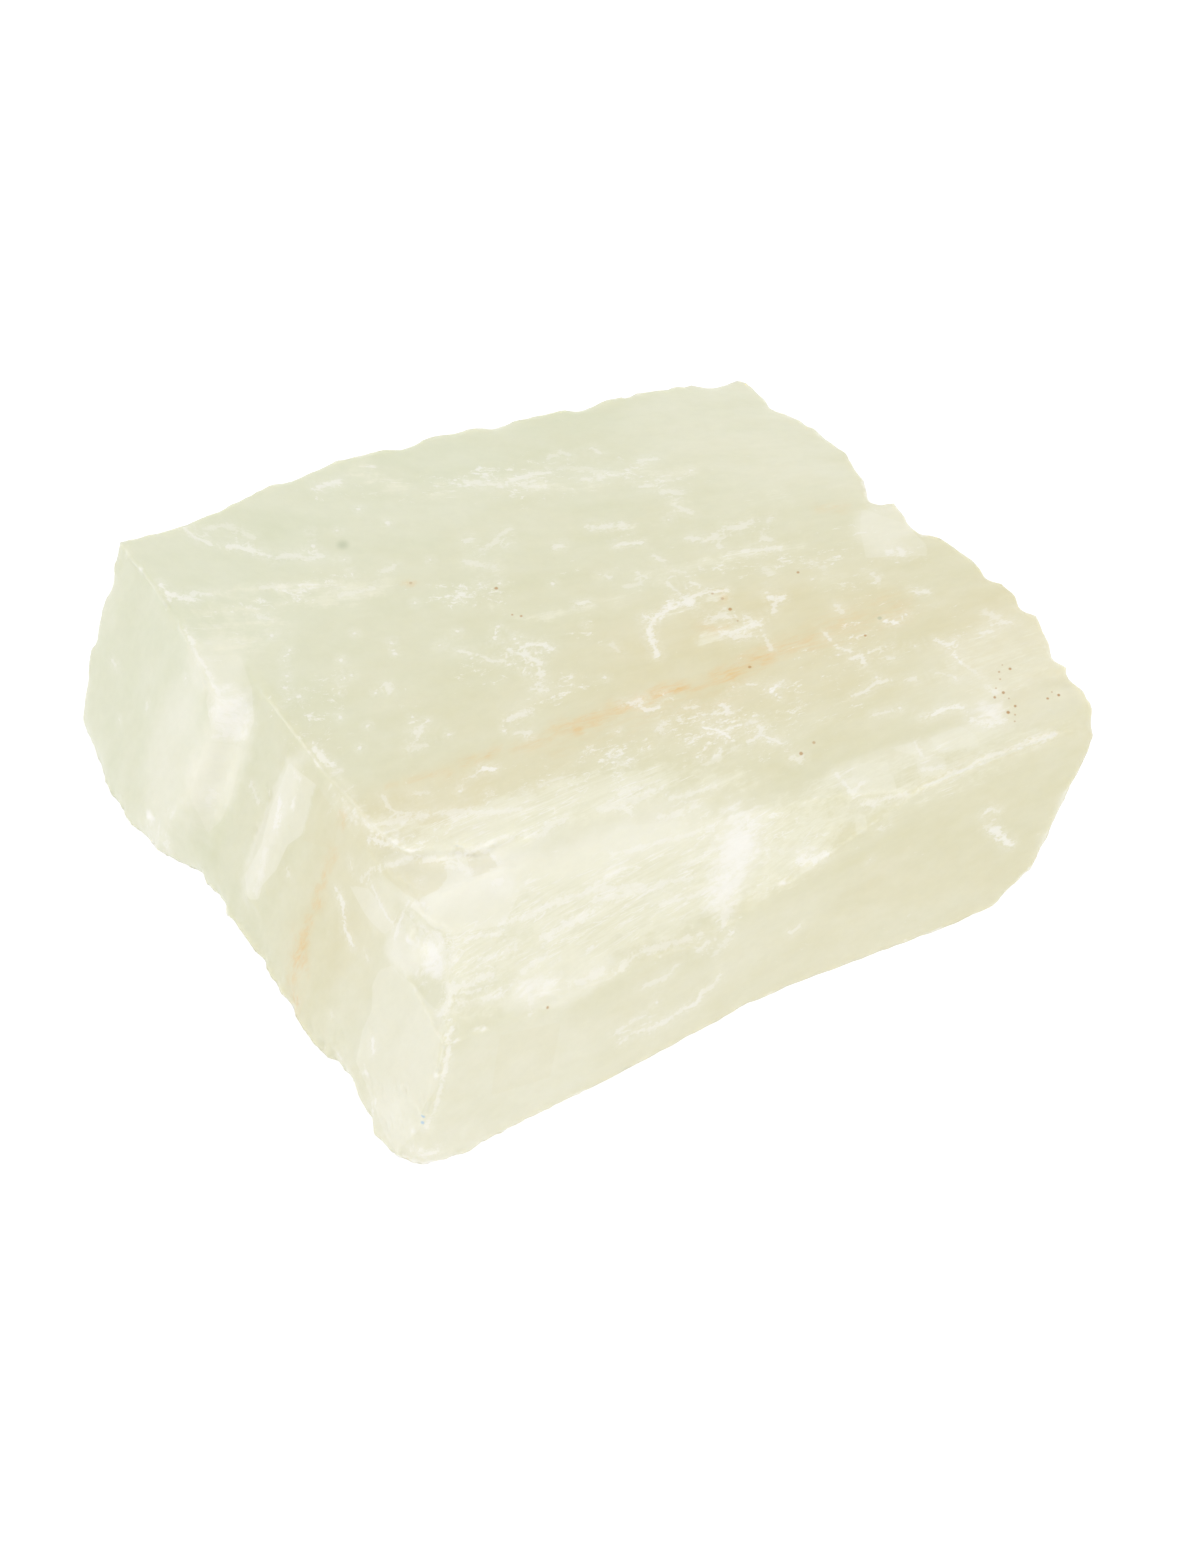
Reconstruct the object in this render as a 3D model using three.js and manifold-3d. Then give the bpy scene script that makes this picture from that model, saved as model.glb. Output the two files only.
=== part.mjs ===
// A calcite cleavage block: one milky crystal, pale green at its back and left, honey at its
// front and right. Each face follows the mineral's own cleavage or a fracture across it.
// Millimetres, +Z up, X along the long edge, Y towards the back. The crystal rests on its base.
import * as THREE from 'three';
import { mergeVertices } from 'three/addons/utils/BufferGeometryUtils.js';
import Module from 'manifold-3d';

const wasm = await Module();
wasm.setup();

// Driving dimensions
const HEIGHT = 30;
const SHELF = 28.3;
const CORNER_STEP = 19.2;
const REACH = 160;
const MARGIN = 1;

// The middle of the footprint, where the finished crystal has its origin
const FOOT_MIDDLE = [0.33, 3.38];

// The third cleavage edge: how far it runs to the left and to the front for each mm down
const EDGE_LEFT = 0.233;
const EDGE_FRONT = 0.17;

// A face is [facing, tilt, through]: the plan angle of its outward normal, counted from +X
// towards +Y, and how far that normal turns up, both in degrees, then a point on the face.
const TOP = [0, 90, [0, 0, HEIGHT]];
const BASE = [0, -90, [0, 0, 0]];
const LEFT_SLAB = [186.5, 19, [-47.2, 34, HEIGHT]];
const LEFT_PANEL = [191.9, 19.6, [-37, 0, HEIGHT]];
const CORNER_PANEL = [188.5, 22.5, [-43.3, -27, 0]];
const LEFT_FOOT = [183, 8, [-56, 32, 5]];
const BACK_LEFT = [99.4, -1, [-36.5, 46.2, HEIGHT]];
const BACK = [87, -9, [5, 47.4, HEIGHT]];
const FRONT_RIGHT = [318, -12, [57.4, -24.6, 26]];
const FRONT_RIGHT_FOOT = [312, -38, [47.6, -29.2, 8]];
const FRONT = [277, 12.8, [20, -33.9, 5]];
const FRONT_TIP = [232, 10, [-40.2, -39.6, 0]];
const SHELL_SLOPES = [[40, 85, [31, 33, HEIGHT]], [34, 79, [37, 34.5, 29.2]]];

// Steps, each left by what broke away outside all of its faces
const SLAB_END = [268, 9, [-43, 16.8, HEIGHT]];
const SLAB_SIDE = [88, -9, [-43, 16.8, HEIGHT]];
const PANEL_END = [105, -4, [-36.2, -22.5, CORNER_STEP]];
const PANEL_START = [285, 4, [-36.2, -22.5, CORNER_STEP]];
const STEPS = [
  [CORNER_PANEL, PANEL_START],
  [LEFT_PANEL, SLAB_END, PANEL_END],
  [[212, 0, [-53.4, 19, 0]], [90, 0, [0, 12, 0]]],
  [[236, 73, [-44, 24.3, HEIGHT]], SLAB_SIDE, [190, 10, [-41.2, 20, HEIGHT]]],
  [[197, 40, [-36.1, -3, HEIGHT]], [270, 0, [0, 14, 0]]],
  [[287.6, -50, [-38, -42, 0]], [277, -48, [20, -34, 5.3]]],
];
const FRONT_BEVEL = [[275, 55, [-14, -20.9, SHELF]], [257, 52.2, [6, -20.5, SHELF]]];
const FRONT_CORNER = [[232.6, 12.8, [-33.9, -22.5, 28]], [193.4, 50, [-36.2, -23.4, CORNER_STEP]]];

// The strip on the left panel
const STRIP_PROUD = 0.75;
const STRIP_SIDES = [
  [84, -9, [-38.6, 6.6, 28]],
  [262, 9, [-38, 1.2, 28]],
  [190, -60, [-46.8, 3.5, 5]],
  [60, 80, [-38.5, 3, 28.2]],
];

// Cleavage steps on the back, which open downwards: [from x, to x, below z, depth]. Each is
// closed by two ends and a roof, given here as [facing, tilt] of what is left standing.
const BACK_STEPS = [[-26, 6, 17, 1.8], [-12, 24, 9, 2.2], [14, 44, 21, 1.2]];
const BACK_STEP_RIGHT_END = [176, 10];
const BACK_STEP_LEFT_END = [8, -10];
const BACK_STEP_ROOF = [85, -72];

// The scalloped edge of the top along the back right and the right end. What broke away
// outside it left walls that lean with the third cleavage edge.
const RIGHT_END = [
  [20, 60], [33.2, 47.6], [37.2, 45.4], [38.6, 42], [40.4, 38.8], [42.9, 35], [44.8, 29],
  [44.8, 23.2], [44.3, 19.1], [46.7, 18], [48.1, 12.4], [50.9, 9.1], [52.6, 5.2], [53.2, 1.7],
  [54.7, 0.6], [55.2, -3.6], [56.8, -10.2], [56, -13.2], [58.2, -17], [58.3, -21.4],
  [57.8, -28], [70, -40], [90, 60],
];

// The ragged edge where the top sheet ends and the honey shelf begins
const TOP_SHEET_EDGE = [
  [-40, -6], [-35, -9.4], [-33.4, -12.6], [-31.9, -15.6], [-27, -16.6], [-22.3, -18.6],
  [-17, -17.2], [-11.8, -17.1], [-4, -18.8], [6, -19.6], [18, -18.6], [30, -19],
  [44, -17.4], [64, -15.5], [64, -50], [-60, -50], [-60, -6],
];

// Ledges of the front bevel: [top height, from x, to x, how far it stands out]
const LEDGES = [
  [26.6, -17, 5, 0.5],
  [25.2, -27, -6, 0.45],
  [24.7, -3, 14, 0.7],
  [23.6, -20, 9, 0.55],
  [22.3, -30, -8, 0.5],
  [21.6, -4, 6, 0.8],
  [20.6, -24, -11.6, 0.9],
  [20.1, -9, 4, 0.45],
  [19.3, -32, -20, 0.5],
];
const LEDGE_DEPTH = 6;
const LEDGE_HEIGHT = 1.7;
const LEDGE_DIP = 6;

// Shell-shaped breaks: [centre, half sizes, turn in plan]
const SCOOPS = [
  [[92.5, 8, 8], [48, 46, 32], 24],
  [[72, 34, 13], [34, 34, 26], 28],
  [[88, -14, 4], [38, 34, 30], 8],
  [[-6, 89, 12], [52, 46, 30], -3],
  [[34, 72.5, 6], [34, 32, 30], 6],
  [[-54.6, 12.4, 0], [3.2, 2.4, 3], 0],
  [[-50.8, 5.6, 0], [2.2, 2.6, 2.4], 10],
  [[-48.2, -7.2, 0.4], [1.8, 3, 3], 12],
  [[-40, 47.8, 30.6], [5, 2, 2.4], 8],
  [[-8, 50.2, 30.8], [7, 2, 2.2], -4],
  [[20, 48.6, 30.6], [6, 1.8, 2], -4],
];
const SCOOP_FACET_SIZE = 6;
const SCOOP_LEAST_FACETS = 3;
const SCOOP_WAVE = 0.35;
const SCOOP_WAVES_ALONG = 4;
const SCOOP_WAVES_ACROSS = 5;
const SCOOP_WAVES_UP = 3;

/** Turns a closed three.js geometry into a solid that can be joined and cut. */
function solidOf(geometry) {
  geometry.deleteAttribute('normal');
  geometry.deleteAttribute('uv');
  const merged = mergeVertices(geometry, 1e-4);
  const mesh = new wasm.Mesh({
    numProp: 3,
    vertProperties: new Float32Array(merged.attributes.position.array),
    triVerts: new Uint32Array(merged.index.array),
  });
  return new wasm.Manifold(mesh);
}

/** The outward normal of a face. */
function normalOf([facing, tilt]) {
  const around = THREE.MathUtils.degToRad(facing);
  const up = THREE.MathUtils.degToRad(tilt);
  return new THREE.Vector3(
    Math.cos(around) * Math.cos(up),
    Math.sin(around) * Math.cos(up),
    Math.sin(up),
  );
}

/** A large block that fills all the space outside a face. */
function outside(face) {
  const block = new THREE.BoxGeometry(2 * REACH, 2 * REACH, REACH);
  block.translate(0, 0, REACH / 2);
  block.applyQuaternion(
    new THREE.Quaternion().setFromUnitVectors(new THREE.Vector3(0, 0, 1), normalOf(face)),
  );
  block.translate(...face[2]);
  return solidOf(block);
}

/** Splits the crystal along each face and keeps the inner side. */
function cleave(solid, ...faces) {
  return faces.reduce((kept, face) => kept.subtract(outside(face)), solid);
}

/** Takes away only what lies outside all of the faces, which leaves a step. */
function notch(solid, ...faces) {
  return solid.subtract(faces.map(outside).reduce((a, b) => a.intersect(b)));
}

/** An upright sheet whose sides lean along the third cleavage edge, between two heights. */
function leaningSheet(outline, low, high) {
  const shape = new THREE.Shape(outline.map(([x, y]) => new THREE.Vector2(x, y)));
  const sheet = new THREE.ExtrudeGeometry(shape, { depth: high - low, bevelEnabled: false });
  sheet.translate(0, 0, low - HEIGHT);
  sheet.applyMatrix4(new THREE.Matrix4().makeShear(0, 0, 0, 0, EDGE_LEFT, EDGE_FRONT));
  sheet.translate(0, 0, HEIGHT);
  return solidOf(sheet);
}

/** The block as it split from its vein, with its main faces alone. */
function mainBlock() {
  const rough = solidOf(new THREE.BoxGeometry(REACH, REACH, REACH));
  let block = cleave(rough, TOP, BASE, LEFT_SLAB, LEFT_FOOT, BACK_LEFT, BACK, FRONT);
  block = cleave(block, FRONT_TIP, FRONT_RIGHT, FRONT_RIGHT_FOOT, ...SHELL_SLOPES);
  block = block.subtract(leaningSheet(RIGHT_END, -MARGIN, HEIGHT + MARGIN));
  const strip = leftStrip(block);
  return STEPS.reduce((kept, faces) => notch(kept, ...faces), block).add(strip);
}

/** A thin strip left standing on the left panel, as far as the sheet that broke off around it. */
function leftStrip(blank) {
  const [facing, tilt, [x, y, z]] = LEFT_PANEL;
  const face = [facing, tilt, [x - STRIP_PROUD, y, z]];
  return cleave(blank, face, ...STRIP_SIDES);
}

/** The steps across the back: each takes a sheet off the lower part of the face. */
function backSteps() {
  return BACK_STEPS.map(([from, to, below, depth]) => {
    const [facing, tilt, [x, y, z]] = BACK;
    const inner = [facing, tilt, [x, y - depth, z]];
    const ends = [[...BACK_STEP_RIGHT_END, [to, y, below]], [...BACK_STEP_LEFT_END, [from, y, below]]];
    return [inner, ...ends, [...BACK_STEP_ROOF, [x, y - depth, below]]];
  });
}

/** How far back the front bevel lies at a given place along it and a given height. */
function bevelDepth(x, z) {
  const [facing, tilt, [px, py, pz]] = FRONT_BEVEL[0];
  const n = normalOf([facing, tilt]);
  return py - (n.x * (x - px) + n.z * (z - pz)) / n.y;
}

/** One thin ledge of the front bevel. */
function ledge([top, from, to, proud]) {
  const middle = (from + to) / 2;
  const turn = THREE.MathUtils.degToRad(FRONT_BEVEL[0][0] - 270);
  const block = new THREE.BoxGeometry(to - from, LEDGE_DEPTH, LEDGE_HEIGHT);
  block.translate(0, LEDGE_DEPTH / 2 - proud, -LEDGE_HEIGHT / 2);
  block.rotateX(-THREE.MathUtils.degToRad(LEDGE_DIP));
  block.rotateZ(turn);
  block.translate(middle, bevelDepth(middle, top), top);
  return solidOf(block);
}

/** The bevel along the front of the shelf, with its ledges and the broken corner. */
function bevelledFront(block) {
  let front = block.subtract(leaningSheet(TOP_SHEET_EDGE, SHELF, HEIGHT + MARGIN));
  const inner = front;
  front = notch(front, ...FRONT_BEVEL);
  const ledges = LEDGES.map(ledge).reduce((a, b) => a.add(b));
  front = front.add(ledges.intersect(inner));
  return notch(front, ...FRONT_CORNER);
}

/** A rounded, slightly wavy body that a shell-shaped break takes out. */
function scoop([centre, halves, turn], index) {
  const size = Math.max(...halves);
  const facets = Math.round(SCOOP_LEAST_FACETS + size / SCOOP_FACET_SIZE);
  const ball = new THREE.IcosahedronGeometry(1, facets);
  const spots = ball.attributes.position;
  const spot = new THREE.Vector3();
  for (let i = 0; i < spots.count; i += 1) {
    spot.fromBufferAttribute(spots, i);
    const along = Math.sin(SCOOP_WAVES_ALONG * spot.x + index);
    const slant = SCOOP_WAVES_ACROSS * spot.y + SCOOP_WAVES_UP * spot.z;
    const wave = along + Math.sin(slant + 2 * index);
    spot.multiplyScalar(1 + (SCOOP_WAVE * wave) / size);
    spots.setXYZ(i, spot.x, spot.y, spot.z);
  }
  ball.scale(...halves);
  ball.rotateZ(THREE.MathUtils.degToRad(turn));
  ball.translate(...centre);
  return solidOf(ball);
}

/** The whole crystal. */
function crystal() {
  let solid = bevelledFront(mainBlock());
  solid = backSteps().reduce((kept, faces) => notch(kept, ...faces), solid);
  return SCOOPS.map(scoop).reduce((kept, piece) => kept.subtract(piece), solid);
}

/** The finished crystal as a mesh with flat faces. */
function crystalMesh(solid) {
  const { vertProperties, triVerts } = solid.getMesh();
  const geometry = new THREE.BufferGeometry();
  geometry.setAttribute('position', new THREE.BufferAttribute(vertProperties, 3));
  geometry.setIndex(new THREE.BufferAttribute(triVerts, 1));
  geometry.translate(-FOOT_MIDDLE[0], -FOOT_MIDDLE[1], 0);
  const material = new THREE.MeshStandardMaterial({
    color: 0xe4e1c6,
    roughness: 0.38,
    metalness: 0,
  });
  const mesh = new THREE.Mesh(geometry, material);
  mesh.name = 'calcite_crystal';
  return mesh;
}

const specimen = new THREE.Group();
specimen.add(crystalMesh(crystal()));

export default specimen;
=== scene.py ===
"""The look of a calcite cleavage block: milky, pale green to honey, with white veils along its
grain, crushed frosted edges, a striped front bevel and a thin iron stain.

Lengths in the tables and classes are in millimetres, in the block's own frame: X along the long
edge, Y towards the back, Z up from the base.
"""

from __future__ import annotations

import logging
import math
from collections.abc import Sequence
from dataclasses import dataclass, field, fields
from enum import Enum

import bmesh
import bpy
import numpy as np
from mathutils import Matrix, Vector, kdtree, noise


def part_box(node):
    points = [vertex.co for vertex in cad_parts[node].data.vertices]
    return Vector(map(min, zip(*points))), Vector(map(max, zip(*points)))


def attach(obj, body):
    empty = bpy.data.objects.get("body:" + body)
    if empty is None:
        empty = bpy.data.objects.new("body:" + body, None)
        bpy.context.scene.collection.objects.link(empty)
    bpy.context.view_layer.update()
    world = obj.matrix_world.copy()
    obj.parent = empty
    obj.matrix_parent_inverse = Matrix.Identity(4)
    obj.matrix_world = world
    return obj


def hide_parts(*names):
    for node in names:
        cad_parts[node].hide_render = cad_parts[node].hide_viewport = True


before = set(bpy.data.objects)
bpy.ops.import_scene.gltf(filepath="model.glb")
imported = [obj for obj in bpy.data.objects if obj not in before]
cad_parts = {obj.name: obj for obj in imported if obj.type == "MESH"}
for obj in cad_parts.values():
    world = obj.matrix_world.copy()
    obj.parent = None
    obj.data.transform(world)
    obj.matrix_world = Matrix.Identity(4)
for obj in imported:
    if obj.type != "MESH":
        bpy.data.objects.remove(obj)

MM = 0.001
HEIGHT = 30.0
TINY = 1e-6
CRUMB_STRENGTH = 0.72
# how the finer layers of a swell follow: their smoothness, and how much finer each is
LAYERING = (1.0, 2.0)

log = logging.getLogger("calcite")

Point = tuple[float, float, float]
Span = tuple[float, float]
Colour = tuple[float, float, float, float]
Row = tuple[float, ...]
Rows = tuple[Row, ...]


class Mark(Enum):
    """What a marking brings out in the crystal."""

    FROST = "frost"
    VEIL = "veil"
    HONEY = "honey"
    MILK = "milk"
    IRON = "iron"
    FLECKS = "flecks"


class Dust(Enum):
    """The foreign grains in the crystal."""

    BROWN = "brown"
    GREY = "grey"
    BLUE = "blue"


@dataclass(frozen=True)
class Line:
    """A marking along a line: its width, how strong it is from 0 to 1, and its corners."""

    width: float
    strength: float
    points: tuple[Point, ...]


@dataclass(frozen=True)
class Patch:
    """A marking that fills a rounded space in the crystal.

    Attributes:
        centre: the middle of the space.
        halves: its half sizes.
        strength: its amount inside, below zero to take away.
        turn: its turn in plan, in degrees.
        soft: how wide its edge is, as a share of its size.
    """

    centre: Row
    halves: Row
    strength: float
    turn: float
    soft: float


@dataclass(frozen=True)
class Pane:
    """A flat inner parting that shows as a paler shape with crisp straight sides.

    Attributes:
        amount: how pale it is, below zero where it is clearer.
        depth: how far it reaches on each side of its own plane.
        corners: its corners in order.
    """

    amount: float
    depth: float
    corners: tuple[Point, ...]


@dataclass(frozen=True)
class Speck:
    """A small grain of another mineral: its radius, how dark and how soft it is, and where."""

    radius: float
    depth: float
    soft: float
    place: Row


def corners_of(numbers: Row, size: int) -> tuple[Point, ...]:
    """Groups numbers into points of the given size, on the top face where it is two."""
    return tuple((*numbers[i : i + size], HEIGHT)[:3] for i in range(0, len(numbers), size))


def lines_of(rows: Rows, size: int) -> tuple[Line, ...]:
    """Reads rows of width, strength and corners as lines."""
    return tuple(Line(row[0], row[1], corners_of(row[2:], size)) for row in rows)


# bright cracks and crumbs on the top face: width, strength, then X and Y of each corner
TOP_SPLINTERS: Rows = (
    (0.55, 0.55, -41.1, 41.5, -40.5, 40, -39.8, 38.8, -38.6, 37.6),
    (0.65, 0.62, -36.8, 36.4, -35.3, 35.9, -33.8, 34.4, -32.4, 33.2),
    (1, 0.5, -31.8, 32.3, -30.3, 32.6, -29, 32, -28, 31.2, -26.1, 30.9),
    (1, 0.36, -38.6, 40.3, -36, 40.2, -34.5, 38.4, -33.3, 37),
    (1.1, 0.66, -22.6, 42.2, -21.1, 42.4, -19.8, 42.3),
    (0.8, 0.55, -4.4, 36.5, -1.5, 35.2, -0.4, 34.4), (0.8, 0.6, 1.6, 34.9, 3.9, 34.9, 6.3, 34.6),
    (0.8, 0.5, 2.6, 33.2, 5.1, 32.5), (0.7, 0.55, 10.2, 31.9, 12.5, 31.2),
    (0.6, 0.4, 7.2, 36.9, 9, 37.4, 10.1, 36.2), (0.6, 0.5, 13.1, 36.5, 13.8, 35.4),
    (0.7, 0.3, 8, 34.7, 10.5, 33.9, 15, 31.1), (0.9, 0.5, 18.2, 32.3, 20.2, 32.2),
    (0.5, 0.5, 16.6, 28.1, 18.2, 27.9), (0.9, 0.45, 19.2, 26.4, 21.3, 25.3),
    (0.8, 0.45, 19.7, 23.8, 20.4, 22.6, 21.3, 21.4), (1, 0.72, -46.3, 31, -45, 30.2, -43.6, 29.3),
    (0.5, 0.55, -43.8, 30.6, -41.2, 29.5), (0.8, 0.4, -34.9, 28.3, -32.4, 27.6, -30.5, 26.1),
    (0.7, 0.4, -25.9, 23.7, -23.3, 23.3, -21.5, 23.4), (0.9, 0.42, -19.4, 25.6, -17.8, 25.9),
    (0.8, 0.4, -36.9, 23.8, -35.4, 22.7), (0.5, 0.8, -47, 33.4, -46.5, 31.8),
    (0.9, 0.5, -25.2, 7.5, -25.2, 6.4), (0.9, 0.55, -24.8, -1.3, -23.5, -0.9, -24.5, -2.3),
    (0.8, 0.42, -26.3, -3.9, -23.9, -3.7), (0.6, 0.55, -14.7, 9.7, -13.5, 8.8),
    (0.55, 0.5, -12.5, 7.9, -11.3, 6.5, -10, 6.1), (0.8, 0.66, -8.6, 7.5, -7, 6.1, -5.6, 3.9),
    (0.9, 0.72, -7.2, 7.4, -5.6, 7.5, -4.1, 6.8, -3.6, 5.9),
    (0.9, 0.6, -6.3, 2.2, -6.9, 1.2, -7.1, -0.2), (0.5, 0.55, -8, 0.4, -6.4, -0.4),
    (1, 0.6, -12.8, -3.4, -11.5, -3.1, -9.8, -3.1), (0.5, 0.5, -12.6, -5.8, -10.7, -6.4),
    (0.7, 0.85, -18.4, -9.8, -17.1, -10.4), (0.4, 0.5, -21.2, -10.7, -19.6, -10.6),
    (0.9, 0.42, -28, -10.6, -26.4, -11.2), (0.35, 0.4, -12.8, -15, -11.1, -14.7, -9.1, -14.7),
    (0.35, 0.45, -31.7, -9.7, -31.5, -12.2, -30.5, -13.2, -29.1, -13.7),
    (0.4, 0.5, -26.2, -14.4, -25.1, -15.2, -24.5, -16.6), (0.8, 0.6, 2.1, 11.9, 3.4, 11.8),
    (0.6, 0.5, 11.2, 14.1, 12, 13.4), (0.6, 0.4, 15.5, 13, 16.9, 12.4),
    (0.6, 0.5, 6.6, 15.6, 7.5, 15), (0.6, 0.36, 8.9, 12.7, 10.9, 12.4),
    (1, 0.4, -8.6, 23.5, -7.6, 22.5, -5.5, 21.4),
    (0.6, 0.42, -6.2, 24.9, -4.8, 25, -2.8, 26.7, -1.8, 26.8), (0.6, 0.5, -2.9, 24.5, -2.5, 24.5),
    (0.9, 0.5, -7.7, 26.9, -6.9, 27.1), (0.8, 0.55, 2.9, 22, 3.7, 21.9),
    (1.2, 0.55, 8.4, 23.7, 10.1, 22.9, 12.4, 22.4),
    (0.5, 0.6, 9.9, 19.5, 10.8, 19.7, 12.1, 19.4, 13.6, 19), (0.5, 0.5, 14.3, 16.2, 15.1, 15),
    (0.9, 0.5, 19.6, 17.6, 21.2, 16.6, 23.7, 16.8), (0.6, 0.45, 22.7, 15.5, 22.7, 14.8),
    (0.7, 0.55, 25.4, 13.1, 26.8, 12.6, 29.9, 12), (1.1, 0.5, 24.8, 17.7, 26, 16.9, 27.9, 17.5),
    (0.8, 0.4, 30.2, 17, 30.8, 17.4), (0.8, 0.42, 28.5, 14.9, 29.2, 13.7),
    (0.9, 0.4, 26.8, 9.5, 27.4, 8.2), (1, 0.32, 32.9, 8.3, 33.8, 6.9),
    (0.95, 0.85, 9.5, 6.7, 10.7, 6.4, 12.7, 7, 14.7, 7.3, 15.9, 6.7),
    (1, 0.8, 13.5, 7.8, 15.1, 7.6, 16.3, 7.3), (0.7, 0.7, 16, 7.9, 17.5, 8.3, 19.2, 7.9, 21, 7.6),
    (0.45, 0.55, 17, 10.5, 17.8, 9.7, 18.2, 8.2),
    (0.35, 0.5, 14.2, 11.3, 14.7, 9.7, 15.6, 8.5, 16.2, 7.7),
    (0.9, 0.75, 10.5, 6.2, 9.4, 4.9, 8.9, 3.5, 9, 1.7, 8.7, 0.2),
    (0.8, 0.6, 17.3, 4, 18.8, 3.7, 19.6, 3.2), (0.6, 0.45, 16.4, 3.5, 17.3, 3.3),
    (0.5, 0.45, 18.9, 4.5, 19.5, 4.7), (0.4, 0.55, 21.3, 3.1, 22.2, 1.9),
    (1, 0.7, 17.7, 0.8, 19.8, 0.6, 21.5, 0.5, 22.7, 0.8), (0.9, 0.55, 19.1, -0.4, 21, -0.6),
    (0.4, 0.5, 22.7, -1.3, 22.7, -2.6, 22.7, -3.7), (0.7, 0.75, 25.5, 5.2, 26.1, 3.9, 27.3, 3.8),
    (0.6, 0.6, 26.1, 3.9, 25.1, 2.1), (0.8, 0.5, 39.5, 3.9, 39.8, 2.6),
    (0.9, 0.5, 33.2, 0.2, 33.5, -0.9), (0.35, 0.6, 30.1, -3.5, 30.4, -4.9),
    (0.6, 0.85, 38.2, -4.3, 39.3, -5), (0.6, 0.6, 43.8, -1.3, 45, -1.5),
    (0.5, 0.65, 30.8, -6.5, 32.1, -7.3), (0.7, 0.7, 31.9, -8.8, 33.1, -8.7, 32.9, -9.9),
    (0.4, 0.55, 34.7, -8.4, 35.8, -8.3), (0.4, 0.5, 36, -10.2, 36.9, -10.5),
    (0.6, 0.7, 43, -9.5, 43.9, -10.7, 45.3, -10.6), (0.4, 0.85, 44.2, -12.6, 44.6, -14.1),
    (0.35, 0.35, 44.6, -14.1, 45.3, -15.3, 45.9, -16.6), (0.35, 0.4, 41, -14.6, 42.7, -15.8),
    (0.6, 0.6, 49, -10.4, 50, -10.4), (1.1, 0.45, 50.6, -7.2, 51.6, -8.6),
    (0.8, 0.6, 52.2, -9.8, 53.2, -10.1), (0.4, 0.6, 31.6, -14.1, 33.1, -13.7, 34.5, -13.7),
    (0.6, 0.5, 36.6, -14.3, 38, -14.6), (0.4, 0.6, 29.6, -14.6, 31.5, -14.5),
    (0.4, 0.55, 31, -18.3, 33.1, -18.7),
    (0.55, 0.75, 36.9, -20.8, 38.9, -20.5, 40.8, -20.4, 42.3, -20.9),
    (0.9, 0.5, 46.6, -19, 47.3, -20), (0.4, 0.55, 8.9, -9.2, 10.5, -9.4),
    (0.8, 0.75, 13.6, -10.2, 14, -11.2, 13, -11.7),
    (0.5, 0.65, 10.7, -11.1, 12.4, -11.3, 14.2, -11.8),
    (0.4, 0.9, 10.1, -13, 11.6, -14.2, 12.7, -15.8), (0.4, 0.6, 17.9, -8.2, 19.1, -8.6),
    (0.45, 0.95, 20, -10.4, 21.2, -9.9), (0.4, 0.55, 21.2, -9.4, 22.2, -9.4),
    (0.7, 0.55, 6, -10.6, 5, -11.1, 4.6, -12.2), (0.6, 0.7, 2, -5.8, 3.5, -6.1, 4.4, -5.9),
    (0.6, 0.7, 3.4, -6.5, 4.5, -7.9, 5.8, -8), (0.7, 0.36, 3.9, 3.9, 4.4, 2.5),
    (0.7, 0.6, 15.4, -14.2, 16.7, -14.5), (0.7, 0.65, 16.9, -15.4, 16.3, -16.6, 15, -17.2),
    (0.5, 0.65, 16.6, -16.7, 17.7, -18, 18.6, -19.1), (0.5, 0.7, 11, -17.2, 9.7, -18.2),
    (0.6, 0.36, 13.1, -17.2, 10.5, -18.4, 8, -18.7), (0.8, 0.42, -1.9, -15.1, -0.8, -15.7),
    (0.8, 0.5, -3.1, -19.2, -1.2, -19.4), (0.9, 0.6, -0.1, -20.4, 1.7, -20.4),
    (1.1, 0.5, -34, -13.8, -31, -14.6, -25.8, -14.8, -21.1, -16.5, -16.2, -17.9),
    (1.1, 0.6, 42.7, 6.6, 44.1, 6.6, 44.4, 5.8), (0.9, 0.7, -37.2, 0.6, -36.8, -1.3, -35.9, -2.9),
)

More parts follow.
